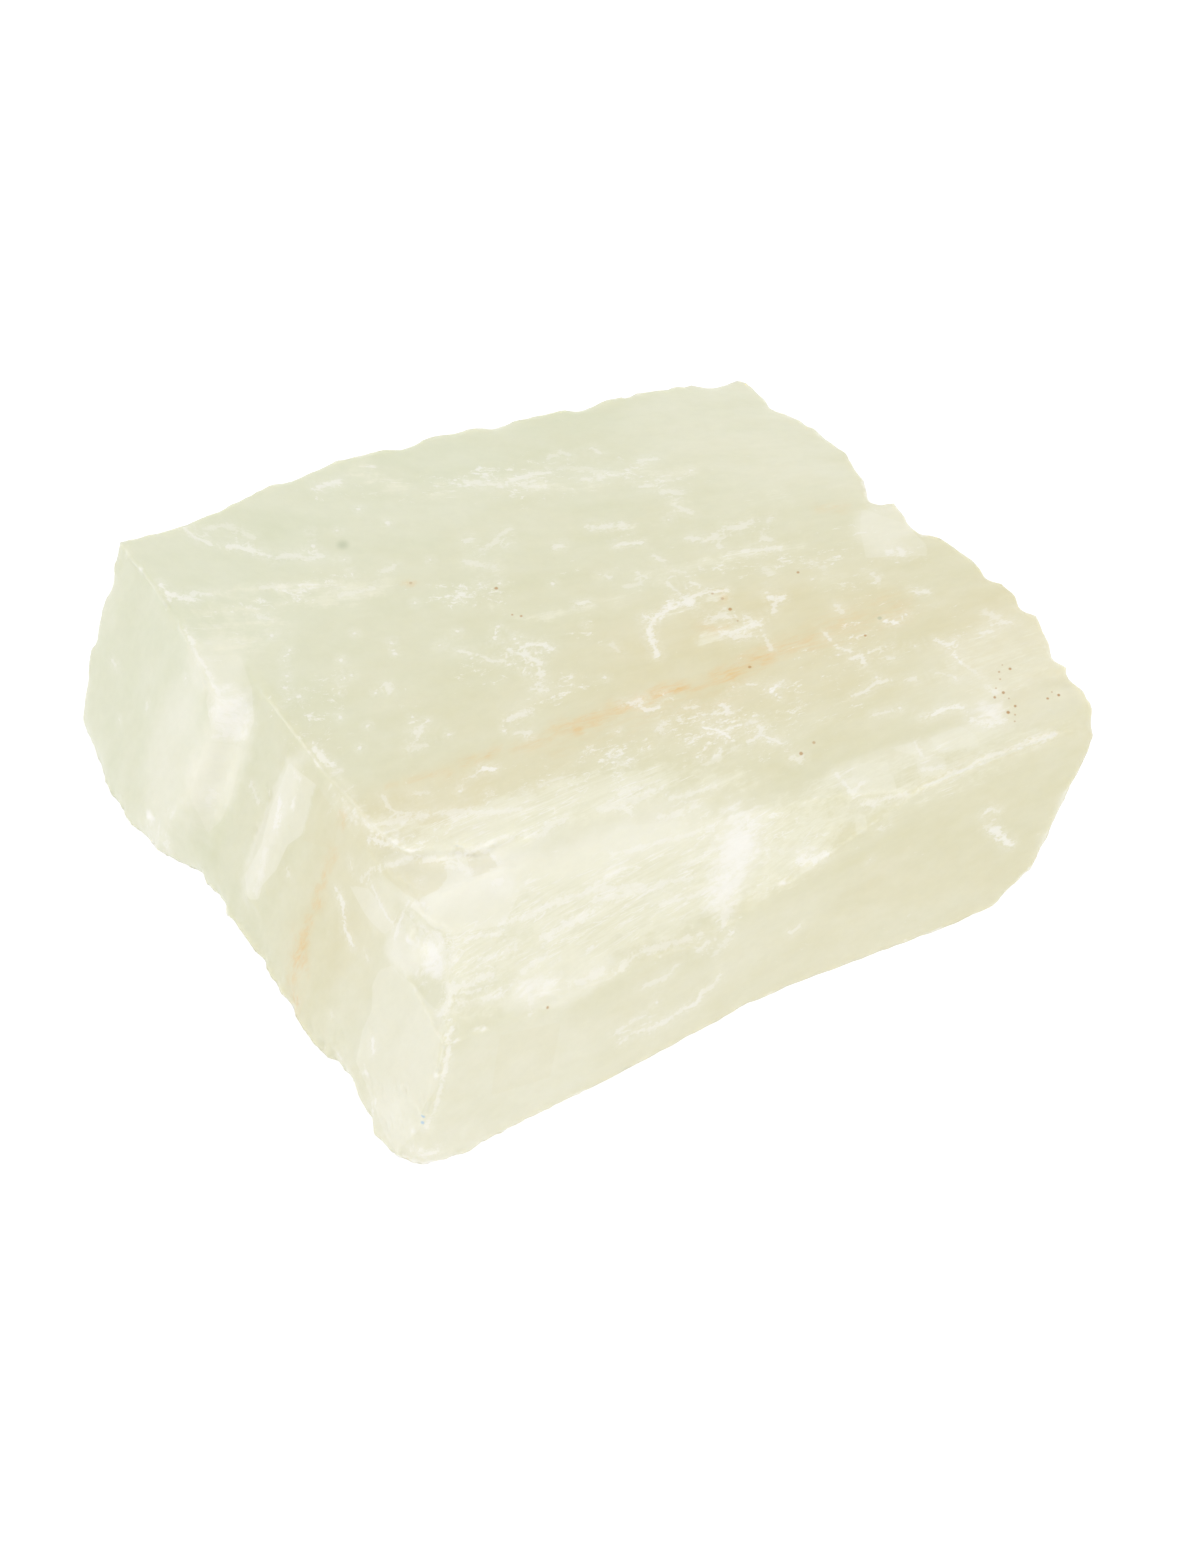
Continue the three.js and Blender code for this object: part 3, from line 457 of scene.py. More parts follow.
# rounded markings: the centre, the half sizes, the strength, the turn and the softness
PATCH_ROWS: dict[Mark, Rows] = {
    Mark.HONEY: (
        (0, 6, 30, 40, 26, 6, 0.2, -8, 0.7), (14, -4, 30, 30, 12, 8, 0.3, 4, 0.8),
        (18, 3, 30, 12, 6, 4, 0.16, 6, 0.7), (34, -4, 30, 26, 16, 30, 0.12, 4, 0.7),
        (14, -38, 6, 64, 14, 26, 0.12, -6, 0.7), (-36, -16, 20, 14, 9, 22, 0.3, 0, 0.6),
        (-22, -13, 30, 14, 5, 4, 0.3, 0, 0.6), (-56, 20, 8, 10, 16, 12, 0.12, 0, 0.8),
        (51, -15, 30, 7, 10, 5, 0.34, 0, 0.7), (-25, -13, 30, 7, 5, 3, 0.2, 0, 0.8),
        (-42, -7, 14, 8, 15, 20, 0.3, 0, 0.7),
    ),
    Mark.MILK: (
        (-42, 37, 30, 9, 6, 3, 0.08, -20, 0.4), (34, 34, 29, 17, 12, 5, 0.14, -25, 0.5),
        (36, 22, 30, 9, 6, 4, 0.1, -25, 0.5), (44, 11, 29, 4.4, 3.4, 5, 0.4, 20, 0.3),
        (-26, -27.6, 26.8, 7.4, 3, 3.4, 0.3, -4, 0.2), (-8, -26, 27, 16, 2.6, 3.4, 0.2, 0, 0.4),
        (30, -25.2, 28.3, 8, 2.2, 3, 0.22, 3, 0.25), (40, -24.2, 28.3, 4.4, 1.8, 3, 0.22, 3, 0.25),
        (-18, -37.4, 19.6, 8, 3.6, 2.8, 0.34, 4, 0.2), (-40, -32, 11, 12, 12, 11, 0.16, -4, 0.25),
        (50, -18, 28, 10, 8, 6, 0.3, 10, 0.7), (-28, -22, 28, 9, 4, 3, 0.4, 0, 0.6),
        (-34.6, -27.4, 20.8, 3, 3.4, 3, 0.5, 0, 0.3), (-28, -40, 10, 9, 8, 13, 0.14, 0, 0.6),
        (-36.3, -21.6, 23.6, 2.4, 3.4, 4, 0.24, 0, 0.3),
        (-44.6, 18.6, 29, 4, 4.6, 3, 0.3, 0, 0.25), (-38, -41, 3, 7, 7, 5, 0.3, 0, 0.5),
        (-50, 17.6, 12, 6, 5.6, 20, 0.36, 0, 0.35), (-43, 0.8, 16, 7, 2.2, 17, 0.4, 0, 0.2),
        # the rows at (-46, 11.6) and (20, -37) are paler crystal and also painted light, lifting a
        # shaded strip beside the slab end and the front face
        (-46, 11.6, 15, 5.5, 2.6, 13, 0.5, 0, 0.5), (-12, -24.6, 28, 20, 3.4, 2.6, 0.45, 2, 0.6),
        (-20, -41, 8, 18, 5, 11, 0.26, 0, 0.7), (20, -37, 10, 40, 5, 12, 0.16, -6, 0.7),
    ),
    Mark.FROST: (
        (10.2, -27, 26.4, 4.4, 3.2, 3.4, 0.56, 20, 0.8),
        (7.6, -31, 23.2, 3.8, 3, 3.2, 0.56, 20, 0.8),
        (4.4, -33.6, 20.6, 3, 2.6, 2.6, 0.52, 20, 0.8),
        (16.4, -32, 24.2, 4.2, 1.7, 1.7, 0.42, 6, 0.8), (3, -29, 25, 12, 4, 4, 0.2, 10, 0.8),
        (-32.4, -29.2, 23, 2.4, 3.6, 3.6, 0.48, 0, 0.8),
        (-31.8, -31, 19.5, 1.9, 3.2, 5, 0.48, 0, 0.7),
        (-31.5, -15, 29, 7.5, 2.6, 3, 0.24, -52, 0.8),
        (-44.4, 12.9, 26.2, 3.2, 3.6, 4.6, 0.75, 0, 0.7),
        (45.2, -21.8, 28.6, 3, 1.8, 2, 0.75, 0, 0.7),
        (50.2, -27.2, 28.3, 2.4, 1.2, 1.2, 0.5, 0, 0.7),
        (-36.4, -8.5, 29, 2.2, 6, 2.4, 0.4, 0, 0.7), (-21, -37.4, 19.8, 4.4, 2, 1.6, 0.6, 0, 0.5),
        (-38.6, -42.6, 2, 3, 3, 2.6, 0.62, 0, 0.5), (-54.4, 15, 3, 3, 3.4, 4, 0.5, 0, 0.5),
    ),
    Mark.VEIL: (
        (-46, 11.6, 17, 5, 2.2, 12, 0.3, 0, 0.5), (-10, -31, 24, 30, 9, 5, 1, 1, 0.3),
        (28, -27.6, 27, 26, 4, 4, 0.6, 3, 0.4), (-40, 22, 30, 7, 6, 3, 0.5, 0, 0.6),
        (0, -17, 30, 46, 5, 2, 0.3, 2, 0.6), (-14, -19, 30, 18, 3.6, 1.6, 0.6, 0, 0.5),
        (26, 24, 30, 9, 7, 3, 0.22, -30, 0.8), (50, -16, 30, 9, 7, 3, 0.4, 10, 0.7),
        (-42, 36, 30, 8, 5.4, 3, -0.9, -20, 0.3), (-26, -27.6, 26.8, 7.4, 3, 3.4, -1, -4, 0.2),
    ),
    Mark.FLECKS: (
        (-4, 10, 30, 60, 40, 6, 0.25, 0, 0.4), (-4, 36, 30, 16, 3.4, 3, 0.6, -16, 0.7),
        (17, 30, 30, 7, 3, 3, 0.5, -20, 0.7), (-34, 27, 30, 13, 3, 3, 0.5, -10, 0.7),
        (-12, 19, 30, 7, 3, 3, 0.5, -10, 0.7), (-8, 4, 30, 8, 6, 3, 0.5, -10, 0.7),
        (14, 13, 30, 18, 4, 3, 0.45, -12, 0.7), (38, 6, 30, 12, 7, 4, 0.4, -20, 0.7),
        (30, -10, 30, 22, 8, 4, 0.45, 4, 0.7), (4, -12, 30, 20, 4, 3, 0.45, 0, 0.7),
        (-8, -18, 30, 28, 4, 3, 0.55, 0, 0.7), (-36, 8, 30, 6, 14, 3, 0.35, 0, 0.7),
        (20, -34, 12, 44, 10, 18, 0.3, 0, 0.5), (-42, 35, 30, 9, 6, 3, -0.9, -20, 0.3),
        (-26, -27.6, 26.8, 7.4, 3, 3.4, -0.9, -4, 0.2), (34, 38, 29, 14, 9, 4, -0.5, -25, 0.5),
    ),
}

PATCHES: dict[Mark, tuple[Patch, ...]] = {
    mark: tuple(Patch(row[:3], row[3:6], *row[6:]) for row in rows)
    for mark, rows in PATCH_ROWS.items()
}

# flat partings: amount, depth, then X, Y and Z of each corner
PANE_ROWS: Rows = (
    # the pale pool behind the front corner
    (0.5, 1.6, -33.5, -24.7, 26.2, -31.6, -25.9, 28.3, -28.9, -25.5, 28.3, -25.4, -25.1, 28.3,
     -21.3, -24.5, 28.3, -19.7, -27.5, 26.4, -22.8, -30.4, 24.5, -29.9, -30.1, 25.1, -31.9, -28.3,
     25.9),
    # the honey windows under the sheet
    (-0.22, 1.6, -35.2, -18.9, 26.9, -32.3, -20.2, 28.3, -30.2, -19.7, 28.6, -27.3, -21.3, 28.3,
     -28, -23.8, 28.3, -29.4, -25, 28.3, -32.3, -25.7, 28, -33.5, -23.6, 27.4),
    (-0.2, 1.6, -24.7, -21.5, 28.6, -22.7, -22, 29.9, -21.8, -22.1, 28.3, -21.4, -24.1, 28.3,
     -23.4, -24.8, 28.3, -25.1, -24.9, 28.3),
    # the corner panel
    (0.27, 3, -36.5, -26.9, 18.2, -37.7, -25.5, 16.1, -38.6, -25.6, 13.6, -39.3, -27.6, 11.2,
     -40.6, -27.9, 8.1, -41.8, -29.7, 4.6, -41.2, -42.3, 0.8, -38.2, -43.6, 5.6, -37.1, -43.2, 9.7,
     -35.2, -42, 13.6, -33.8, -39.2, 19, -33.7, -37, 19.5, -34.7, -34.3, 19.2, -35.2, -31.7, 19.4,
     -36.2, -28.8, 18.4),
    # the clear pane above it
    (0.26, 2.5, -35.3, -24.7, 23.2, -33.9, -24.8, 25.2, -33.5, -27.2, 25.3, -33.5, -28.3, 21.6,
     -34.3, -31.1, 20.2, -35.7, -29.6, 19.1, -36.2, -26.1, 19.2),
    # the pale wedge beside the corner
    (0.26, 1.6, -38, -15.2, 21.2, -36.6, -18.2, 23.4, -36, -21.1, 23.3, -35.3, -24.7, 23.2, -36.4,
     -23.9, 20.7, -37.5, -19.5, 20.1),
    # the strip down the left side
    (0.33, 2.5, -40.3, 1.9, 27, -38.1, -3.5, 27.7, -39.8, -4, 23, -40.7, -4.5, 20.1, -42.4, -3.3,
     17.4, -44.2, -3.3, 13.1, -45.8, -2.3, 9.5, -46.5, -2.6, 7.3, -47.4, -1, 5.8, -46.8, 1.9, 7.2,
     -44.7, 0.5, 14, -43.3, 1.9, 18.8, -41.6, 1.7, 23.3),
    # the olive triangle beside it
    (-0.16, 1.6, -38.1, -3.8, 27.6, -37.1, -9.2, 27.2, -38.6, -10.2, 22.7, -40.8, -4.9, 19.5,
     -39.7, -4.1, 23.1),
    # the slab bevel
    (0.2, 1.4, -45.8, 20.5, 29.6, -41.1, 18.5, 30, -41.2, 13.5, 29, -45.3, 16.1, 28.6),
    # the slab end
    (0.33, 3, -45.6, 16.2, 28.6, -41.1, 13.6, 29.3, -41.8, 10.8, 26, -42.9, 10.6, 22.8, -46.8,
     12.3, 22, -46.9, 15.4, 26.8),
    # below it
    (0.22, 3, -48.1, 12.3, 21.9, -43.5, 11, 21.5, -44.4, 10.5, 18.5, -45.6, 9.8, 14.8, -47.2, 9.7,
     10.6, -49.1, 10.1, 7.9, -50.9, 11.1, 13.5),
    # blocks along the bevel foot
    (0.23, 1.4, -24.3, -36.5, 20.5, -21.8, -36.9, 20.7, -22.3, -38.5, 18.8, -24.5, -38.6, 19.1),
    (0.22, 1.4, -20.4, -36.8, 20.1, -18.4, -36.9, 19.7, -19, -38.5, 18.6, -20.9, -38.5, 18.8),
    (0.2, 1.2, -8, -24.5, 27.8, -4.9, -23.3, 28.3, 3.7, -24.6, 27.4, 3.5, -25.8, 26.5, -3.3, -26.3,
     26.4),
    # flat ones along the front shelf
    (0.2, 1.6, 36.7, -23.4, 28.3, 41, -22.9, 28.3, 42.4, -24.6, 28.3, 42.4, -26.3, 28.3, 37, -26.1,
     28.3),
    (0.26, 1.6, 31, -23.4, 28.3, 34.7, -23.4, 28.3, 34.8, -25.7, 28.3),
    (0.23, 1.6, 34, -25.6, 28.3, 37.5, -26.5, 28.3, 36.6, -29.3, 28.3, 33.1, -28.6, 28.3),
    (0.2, 1.6, 25.7, -24, 28.3, 30.4, -25.1, 28.3, 29.9, -26.9, 28.3, 25.3, -25.7, 28.3),
    (0.26, 1.6, 24.3, -25.7, 28.3, 30.2, -27.3, 28.3, 29.8, -29.8, 28.1, 23.7, -28.4, 28),
    (0.2, 1.6, 23.9, -30.3, 26.6, 25.2, -30.5, 26.7, 24.9, -32.1, 24.7, 23.4, -32.2, 25),
    # front foot left: darker
    (-0.1, 3, -27.1, -40.5, 16.2, -18.9, -39.8, 14.8, -21.3, -41.8, 7.2, -29.3, -42.7, 7.7),
    # smooth lobe
    (0.2, 2, 42.3, 14.8, 30, 46.9, 10.2, 29.8, 47.8, 6, 30, 47.3, 4.2, 30, 43.9, 5.4, 30, 39.7,
     6.6, 30, 40.7, 11.4, 30),
)

PANES: tuple[Pane, ...] = tuple(
    Pane(row[0], row[1], corners_of(row[2:], 3)) for row in PANE_ROWS
)

# where the outline bulges: X, Y and Z of the place, then how far to the right and to the back
NUDGES: Rows = (
    (51.3, -31, 15.6, -0.19, 0.1), (48.1, -32.7, 9.9, -0.23, 0.16), (43, -34.2, 6.1, -0.23, 0.21),
    (35.5, -35.2, 5.4, -0.12, 0.14), (28.7, -36.1, 5.4, -0.21, 0.33),
    (23, -36.8, 5.4, -0.26, 0.51), (18, -37.4, 5.4, -0.23, 0.62), (13.5, -37.9, 5.4, -0.2, 0.76),
    (9.4, -38.4, 5.5, -0.08, 0.51), (-2.2, -39.9, 5.2, -0.04, -0.35),
    (-6, -40.5, 4.7, -0.13, -0.68), (-10, -41.1, 4.1, -0.16, -0.56),
    (-14.2, -41.8, 3.5, -0.31, -0.87), (-19.2, -42.5, 2.9, -0.36, -0.78),
    (-24.7, -43.4, 2.1, -0.09, -0.17), (-31.4, -44.4, 1.1, -0.35, -0.52),
    (-38.6, -44.4, 0.2, -0.96, -1.2), (-42.2, -39.5, 0.1, -0.99, -1.03),
    (-43.2, -32.3, 0.3, -0.82, -0.71), (-43.5, -25.3, 0.3, -1.52, -1.08),
    (-44.8, -19.1, 0.4, -1.13, -0.64), (-46, -13.2, 0.4, -0.57, -0.25),
    (-48.7, -1, 0.2, 0.16, 0.03), (-50.1, 5.7, 0.2, -0.46, -0.02), (-52, 12.8, 0.3, -1.32, 0.1),
    (-56.6, 21.3, 0.5, -0.48, 0.1), (-57.1, 30.5, 0.4, -0.26, 0.1),
    (-57.2, 38.4, 2.7, -0.25, 0.13), (-54.9, 39.3, 11.5, -0.92, 0.66),
    (-52, 39.7, 19.9, -1.19, 1.11), (-49.2, 40.4, 28.3, -0.85, 1.02),
    (-26.7, 44.2, 30, -0.25, 0.67), (-20.3, 45.1, 30, -0.2, 0.78), (-14.2, 44.7, 30, -0.13, 0.79),
    (-8.6, 44.4, 30, -0.1, 1.45), (-3.3, 44.2, 30, 0.02, 1.05), (1.7, 43.8, 30, 0.13, 1.2),
    (6.6, 43.7, 30, 0.18, 0.92), (11.5, 43.5, 30, 0.24, 0.89), (16.5, 43.1, 30, 0.37, 1.02),
    (21.8, 42.9, 29.9, 0.38, 0.84), (27.5, 42.5, 29.4, 0.55, 0.99), (33.4, 42, 28.5, 0.52, 0.77),
    (43.1, 27.1, 28.6, 0.1, 0.08), (43.9, 20, 29.2, 0.37, 0.26), (46.1, 14.1, 29.5, 0.53, 0.3),
    (48.1, 8.1, 29.9, 0.33, 0.14), (51.7, 2.3, 29.9, 0.13, 0.04), (54.3, -4.5, 30, 0.84, 0.15),
    (55.9, -11.8, 30, 1.04, 0.05), (57, -19.6, 29.6, 0.56, -0.04), (57.2, -27, 28.3, 0.55, -0.12),
)

# foreign grains: radius, darkness, softness, then X, Y and Z
SPECK_ROWS: dict[Dust, Rows] = {
    Dust.BROWN: (
        (0.34, 0.75, 0.6, -6.7, 18, 30), (0.22, 0.6, 0.6, -6.3, 13, 30),
        (0.26, 0.65, 0.6, -5.3, 12.4, 30), (0.34, 0.8, 0.6, 20.2, 4.4, 30),
        (0.2, 0.5, 0.6, 20.4, 2.2, 30), (0.3, 0.45, 0.6, 19.9, 6.4, 30),
        (0.24, 0.5, 0.6, 19, 7.6, 30), (0.3, 0.75, 0.6, 19.1, -5.6, 30),
        (0.28, 0.7, 0.6, 30.6, 7.3, 30), (0.25, 0.75, 0.6, 34.8, -5.7, 30),
        (0.3, 0.55, 0.6, 22.3, -20, 29.85), (0.34, 0.7, 0.6, 20.2, -21, 29.67),
        (0.32, 0.85, 0.6, 50.1, -17.1, 30), (0.25, 0.755, 0.6, 48.6, -17.1, 30),
        (0.17, 0.6, 0.6, 49.4, -16.2, 30), (0.17, 0.55, 0.6, 48.3, -18.2, 29.79),
        (0.28, 0.75, 0.6, 48, -20.1, 29.37), (0.25, 0.75, 0.6, 46.7, -20.4, 29.3),
        (0.16, 0.55, 0.6, 47.3, -19.3, 29.64), (0.16, 0.5, 0.6, 48.4, -21, 29.06),
        (0.32, 0.85, 0.6, 47.6, -22.8, 28.64), (0.25, 0.75, 0.6, 48.8, -22.2, 28.73),
        (0.18, 0.55, 0.6, 48.3, -23.4, 28.56), (0.17, 0.5, 0.6, 47.9, -24.3, 28.44),
        (0.25, 0.755, 0.6, 53.2, -22.3, 28.56), (0.28, 0.8, 0.6, 54.8, -22.1, 28.37),
        (0.16, 0.55, 0.6, 54.1, -21.5, 28.58), (0.3, 0.7, 0.6, -20.4, -39.3, 17.5),
        (0.3, 0.4, 0.6, -16.7, 22.6, 30),
    ),
    Dust.GREY: (
        (1.25, 0.5, 0.95, -22.8, 31.7, 30), (0.45, 0.4, 0.95, -22.8, 31.7, 30),
        (0.4, 0.5, 0.6, 37.6, -3.6, 30),
    ),
    Dust.BLUE: (
        (0.4, 0.6, 0.6, -38.4, -43.6, 8.6), (0.34, 0.6, 0.6, -37.9, -43.4, 9.7),
        (0.34, 0.55, 0.6, -38.6, -43.8, 7.5), (0.3, 0.5, 0.6, -37.4, -43.3, 8.8),
    ),
}

SPECKS: dict[Dust, tuple[Speck, ...]] = {
    dust: tuple(Speck(*row[:3], row[3:]) for row in rows) for dust, rows in SPECK_ROWS.items()
}


@dataclass(frozen=True)
class Swell:
    """A smooth uneven field: the size of its cells, its finer layers and its shift."""

    cell: Point
    octaves: int
    shift: float = 0.0

    def at(self, points: np.ndarray) -> np.ndarray:
        """Its value at each point, from about -1 to 1."""
        scaled = points / np.array(self.cell) + self.shift
        return np.array([noise.fractal(Vector(p), *LAYERING, self.octaves) for p in scaled])


def smooth_step(value: np.ndarray, low: float, high: float) -> np.ndarray:
    """0 below low, 1 above high and a smooth rise between them."""
    share = np.clip((value - low) / (high - low), 0.0, 1.0)
    return share * share * (3.0 - 2.0 * share)


def nearest_of(places: Sequence[Sequence[float]]) -> kdtree.KDTree:
    """A tree that finds the nearest of the given places.

    Args:
        places: places, one a row.

    Returns:
        The tree, which knows each place by its row.
    """
    tree = kdtree.KDTree(len(places))
    for i, place in enumerate(places):
        tree.insert(place, i)
    tree.balance()
    return tree


def gap_to(points: np.ndarray, start: np.ndarray, end: np.ndarray) -> tuple[np.ndarray, np.ndarray]:
    """How each point lies beside a straight stretch.

    Args:
        points: places, one a row.
        start: one end of the stretch.
        end: its other end.

    Returns:
        The way from each point to the stretch, and how far along it that is, from 0 to 1.
    """
    run = end - start
    share = np.clip((points - start) @ run / max(run @ run, TINY), 0.0, 1.0)
    return start + share[:, None] * run - points, share


def line_distance(points: np.ndarray, line: tuple[Point, ...]) -> tuple[np.ndarray, np.ndarray]:
    """How far each point is from a line of straight stretches.

    Args:
        points: places, one a row.
        line: the line's corners.

    Returns:
        The distances, and how far along the line each nearest place is.
    """
    nearest, along = np.full(len(points), np.inf), np.zeros(len(points))
    travelled = 0.0
    for start, end in zip(np.array(line, float), np.array(line[1:], float)):
        way, share = gap_to(points, start, end)
        distance = np.linalg.norm(way, axis=1)
        length = float(np.linalg.norm(end - start))
        closer = distance < nearest
        nearest = np.where(closer, distance, nearest)
        along = np.where(closer, travelled + share * length, along)
        travelled += length
    return nearest, along


def polygon_depth(spots: np.ndarray, corners: np.ndarray) -> np.ndarray:
    """How deep each spot lies inside a flat outline.

    Args:
        spots: places in the outline's plane, one a row.
        corners: the outline's corners in order.

    Returns:
        The distance to the nearest side, below zero outside.
    """
    nearest, inside = np.full(len(spots), np.inf), np.zeros(len(spots), bool)
    for a, b in zip(corners, np.roll(corners, -1, 0)):
        nearest = np.minimum(nearest, np.linalg.norm(gap_to(spots, a, b)[0], axis=1))
        run = b - a
        spans = (a[1] > spots[:, 1]) != (b[1] > spots[:, 1])
        rise = run[1] if abs(run[1]) > TINY else TINY
        inside ^= spans & (spots[:, 0] < a[0] + run[0] * (spots[:, 1] - a[1]) / rise)
    return np.where(inside, nearest, -nearest)


@dataclass
class Skin:
    """The crystal's surface as it is being worked: places and directions.

    Attributes:
        places: where each vertex is.
        facing: each vertex's outward direction.
        edge_gap: how far each vertex is from the nearest crisp edge.
        edge_near: the nearest vertex on a crisp edge.
        hollow: how far each vertex lies below its broad surroundings.
        brink: how far each vertex lies below its near surroundings.
    """

    places: np.ndarray
    facing: np.ndarray
    edge_gap: np.ndarray
    edge_near: np.ndarray
    hollow: np.ndarray
    brink: np.ndarray


@dataclass(frozen=True)
class Tip:
    """A worn end of the foot: where it is, how far and how high it reaches, how often it is
    smoothed."""

    x: float
    y: float
    reach: float
    height: float
    passes: int


@dataclass(frozen=True)
class Easing:
    """A box in which the surface is smoothed a number of times."""

    low: Point
    high: Point
    passes: int

    def holds(self, place: Vector) -> bool:
        """Whether a place lies in the box."""
        low, high = Vector(self.low) * MM, Vector(self.high) * MM
        return all(low[i] < place[i] < high[i] for i in range(3))


@dataclass
class Form:
    """The block's shape: a dense copy of the solid with its edges worn and its fine relief."""

    node: str = "calcite_crystal"
    # the cells, and the base that keeps them only near its rim
    cell: float = 0.62
    least_edge: float = 0.12
    rim: float = 3.0
    # angles in degrees: of one flat, of a slight bend and of a crisp edge
    flat_angle: float = 0.4
    slight_angle: float = 1.0
    crisp_angle: float = 22.0
    # how strongly a pass smooths, and how strongly it may swell back
    swing: Span = (0.5, -0.53)
    # shell-shaped breaks, whose facets meet at small angles
    break_foot: float = 0.3
    break_rings: int = 2
    break_passes: int = 14
    # inner corners, which are never sharp in a broken crystal
    groove_top: float = 0.8
    groove_foot: float = 0.5
    groove_rings: int = 3
    groove_passes: int = 24
    # sharp steps that wear has rounded
    eased: tuple[Easing, ...] = (
        Easing((-16.0, -27.0, 27.5), (54.0, -15.0, 30.1), 60),
        Easing((-56.0, 4.0, 0.5), (-41.0, 16.5, 29.4), 50),
        Easing((-60.0, 19.0, 1.0), (-50.0, 42.0, 26.0), 16),
        Easing((53.0, -20.5, 18.0), (60.0, -12.0, 30.2), 16),
    )
    # the broken right end and back
    right_lean: float = 0.35
    back_lean: float = 0.45
    broken_foot: float = 0.5
    broken_rings: int = 4
    broken_passes: int = 30
    # the foot and its worn ends
    tips: tuple[Tip, ...] = (
        Tip(-40.6, -43.6, 7.0, 9.0, 60),
        Tip(-57.6, 21.0, 5.0, 9.0, 16),
        Tip(-57.6, 38.0, 6.0, 10.0, 30),
        Tip(-43.8, -30.0, 7.0, 6.0, 70),
        Tip(-50.5, 8.0, 5.0, 6.0, 40),
    )
    foot_height: float = 3.0
    foot_passes: int = 10
    # the bulges of the outline
    nudges: Rows = NUDGES
    nudge_reach: Point = (5.0, 5.0, 12.0)
    # the fine relief
    upper_facing: Span = (0.6, 0.9)
    grain_slope: float = -0.008
    grain_bend: float = -0.0085
    grain_lean: Span = (1.04, 0.17)
    grain_shift: float = 200.0
    left_facing: float = -0.6
    grain_depth: float = 0.02
    grain_swell: Swell = Swell((26.0, 3.4, 3.4), 4)
    terrace_depth: float = 0.02
    side_terrace_depth: float = 0.04
    terrace_count: float = 4.0
    terrace_rise: float = 0.25
    terrace_swell: Swell = Swell((30.0, 5.0, 5.0), 2, 7.3)
    band_depth: float = 0.05
    band_swell: Swell = Swell((14.0, 1.5, 1.5), 3, 3.1)
    band_outward: Span = (0.35, 0.6)
    band_upward: Span = (0.4, 0.6)
    band_height: Span = (17.0, 19.0)
    break_depth: float = 0.14
    break_swell: Swell = Swell((9.0, 9.0, 9.0), 4, 11.7)
    right_facing: Span = (0.35, 0.7)
    back_facing: Span = (0.5, 0.8)
    # chips out of the edges and the foot
    chip_depth: float = 0.2
    chip_reach: float = 0.8
    chip_share: float = 0.25
    chip_swell: Swell = Swell((2.6, 2.6, 2.6), 3, 5.5)
    foot_chip_depth: float = 0.55
    foot_chip_heights: Span = (0.4, 3.2)
    foot_chip_swell: Swell = Swell((2.6, 2.6, 2.6), 4, 6.5)
    least_outward: float = 0.2
    # the base
    base_height: float = 0.02
    rim_gap: float = 0.05
    rim_reach: float = 2.4
    flat_height: float = 0.03
    rim_passes: int = 3
    # how far round a vertex the surroundings reach, in smoothing passes
    hollow_passes: int = 36
    brink_passes: int = 4

    def build(self) -> tuple[bmesh.types.BMesh, Skin]:
        """Makes the block's shape.

        Returns:
            The shape, and its skin as it was before the fine relief.
        """
        form = self.blank()
        self.cut_cells(form)
        self.wear(form)
        skin = self.read_skin(form)
        self.weather(form, skin)
        return form, self.rebase(form, skin)

    def blank(self) -> bmesh.types.BMesh:
        """A merged copy of the solid, with one face for each flat.

        Returns:
            The copy.
        """
        form = bmesh.new()
        form.from_mesh(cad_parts[self.node].data)
        bmesh.ops.remove_doubles(form, verts=form.verts, dist=TINY)
        limit = math.radians(self.flat_angle)
        bmesh.ops.dissolve_limit(form, angle_limit=limit, verts=form.verts, edges=form.edges)
        return form

    def cut_cells(self, form: bmesh.types.BMesh) -> None:
        """Cuts every face into small cells along the three axes.

        Args:
            form: the block in cells.
        """
        low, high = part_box(self.node)
        step = self.cell * MM
        for axis in range(3):
            across = Vector((0.0, 0.0, 0.0))
            across[axis] = 1.0
            count = int((high[axis] - low[axis]) / step)
            spare = (high[axis] - low[axis] - count * step) / 2
            for i in range(count + 1):
                place = across * (low[axis] + spare + i * step)
                everything = form.verts[:] + form.edges[:] + form.faces[:]
                bmesh.ops.bisect_plane(
                    form, geom=everything, dist=TINY, plane_co=place, plane_no=across
                )
        self.clear_base(form)
        bmesh.ops.triangulate(form, faces=form.faces)
        bmesh.ops.remove_doubles(form, verts=form.verts, dist=self.least_edge * MM)
        bmesh.ops.dissolve_degenerate(form, edges=form.edges, dist=TINY)
        bmesh.ops.triangulate(form, faces=[f for f in form.faces if len(f.verts) > 3])
        form.normal_update()
        log.info("cells: %d triangles", len(form.faces))

    def clear_base(self, form: bmesh.types.BMesh) -> None:
        """Merges the cells of the hidden base, away from its rim.

        Args:
            form: the block in cells.
        """
        base = {v for v in form.verts if v.co.z < TINY}
        rim = [
            e.verts[0].co
            for e in form.edges
            if base.issuperset(e.verts) and not all(base.issuperset(f.verts) for f in e.link_faces)
        ]
        tree = nearest_of(rim)
        inner = {v for v in base if tree.find(v.co)[2] > self.rim * MM}
        bmesh.ops.dissolve_faces(form, faces=[f for f in form.faces if inner.issuperset(f.verts)])

    def crisp_edges(self, form: bmesh.types.BMesh) -> list[bmesh.types.BMEdge]:
        """The edges where two faces meet at more than the crisp angle."""
        limit = math.radians(self.crisp_angle)
        return [e for e in form.edges if e.calc_face_angle(0.0) > limit]

    def wear(self, form: bmesh.types.BMesh) -> None:
        """Rounds the breaks, the inner corners, the broken sides and the foot.

        Args:
            form: the block in cells.
        """
        self.ease_breaks(form)
        self.fill_grooves(form)
        for box in self.eased:
            self.relax(form, [v for v in form.verts if box.holds(v.co)], box.passes)
        self.ease_broken_sides(form)
        self.wear_foot(form)
        self.bulge(form)
        form.normal_update()

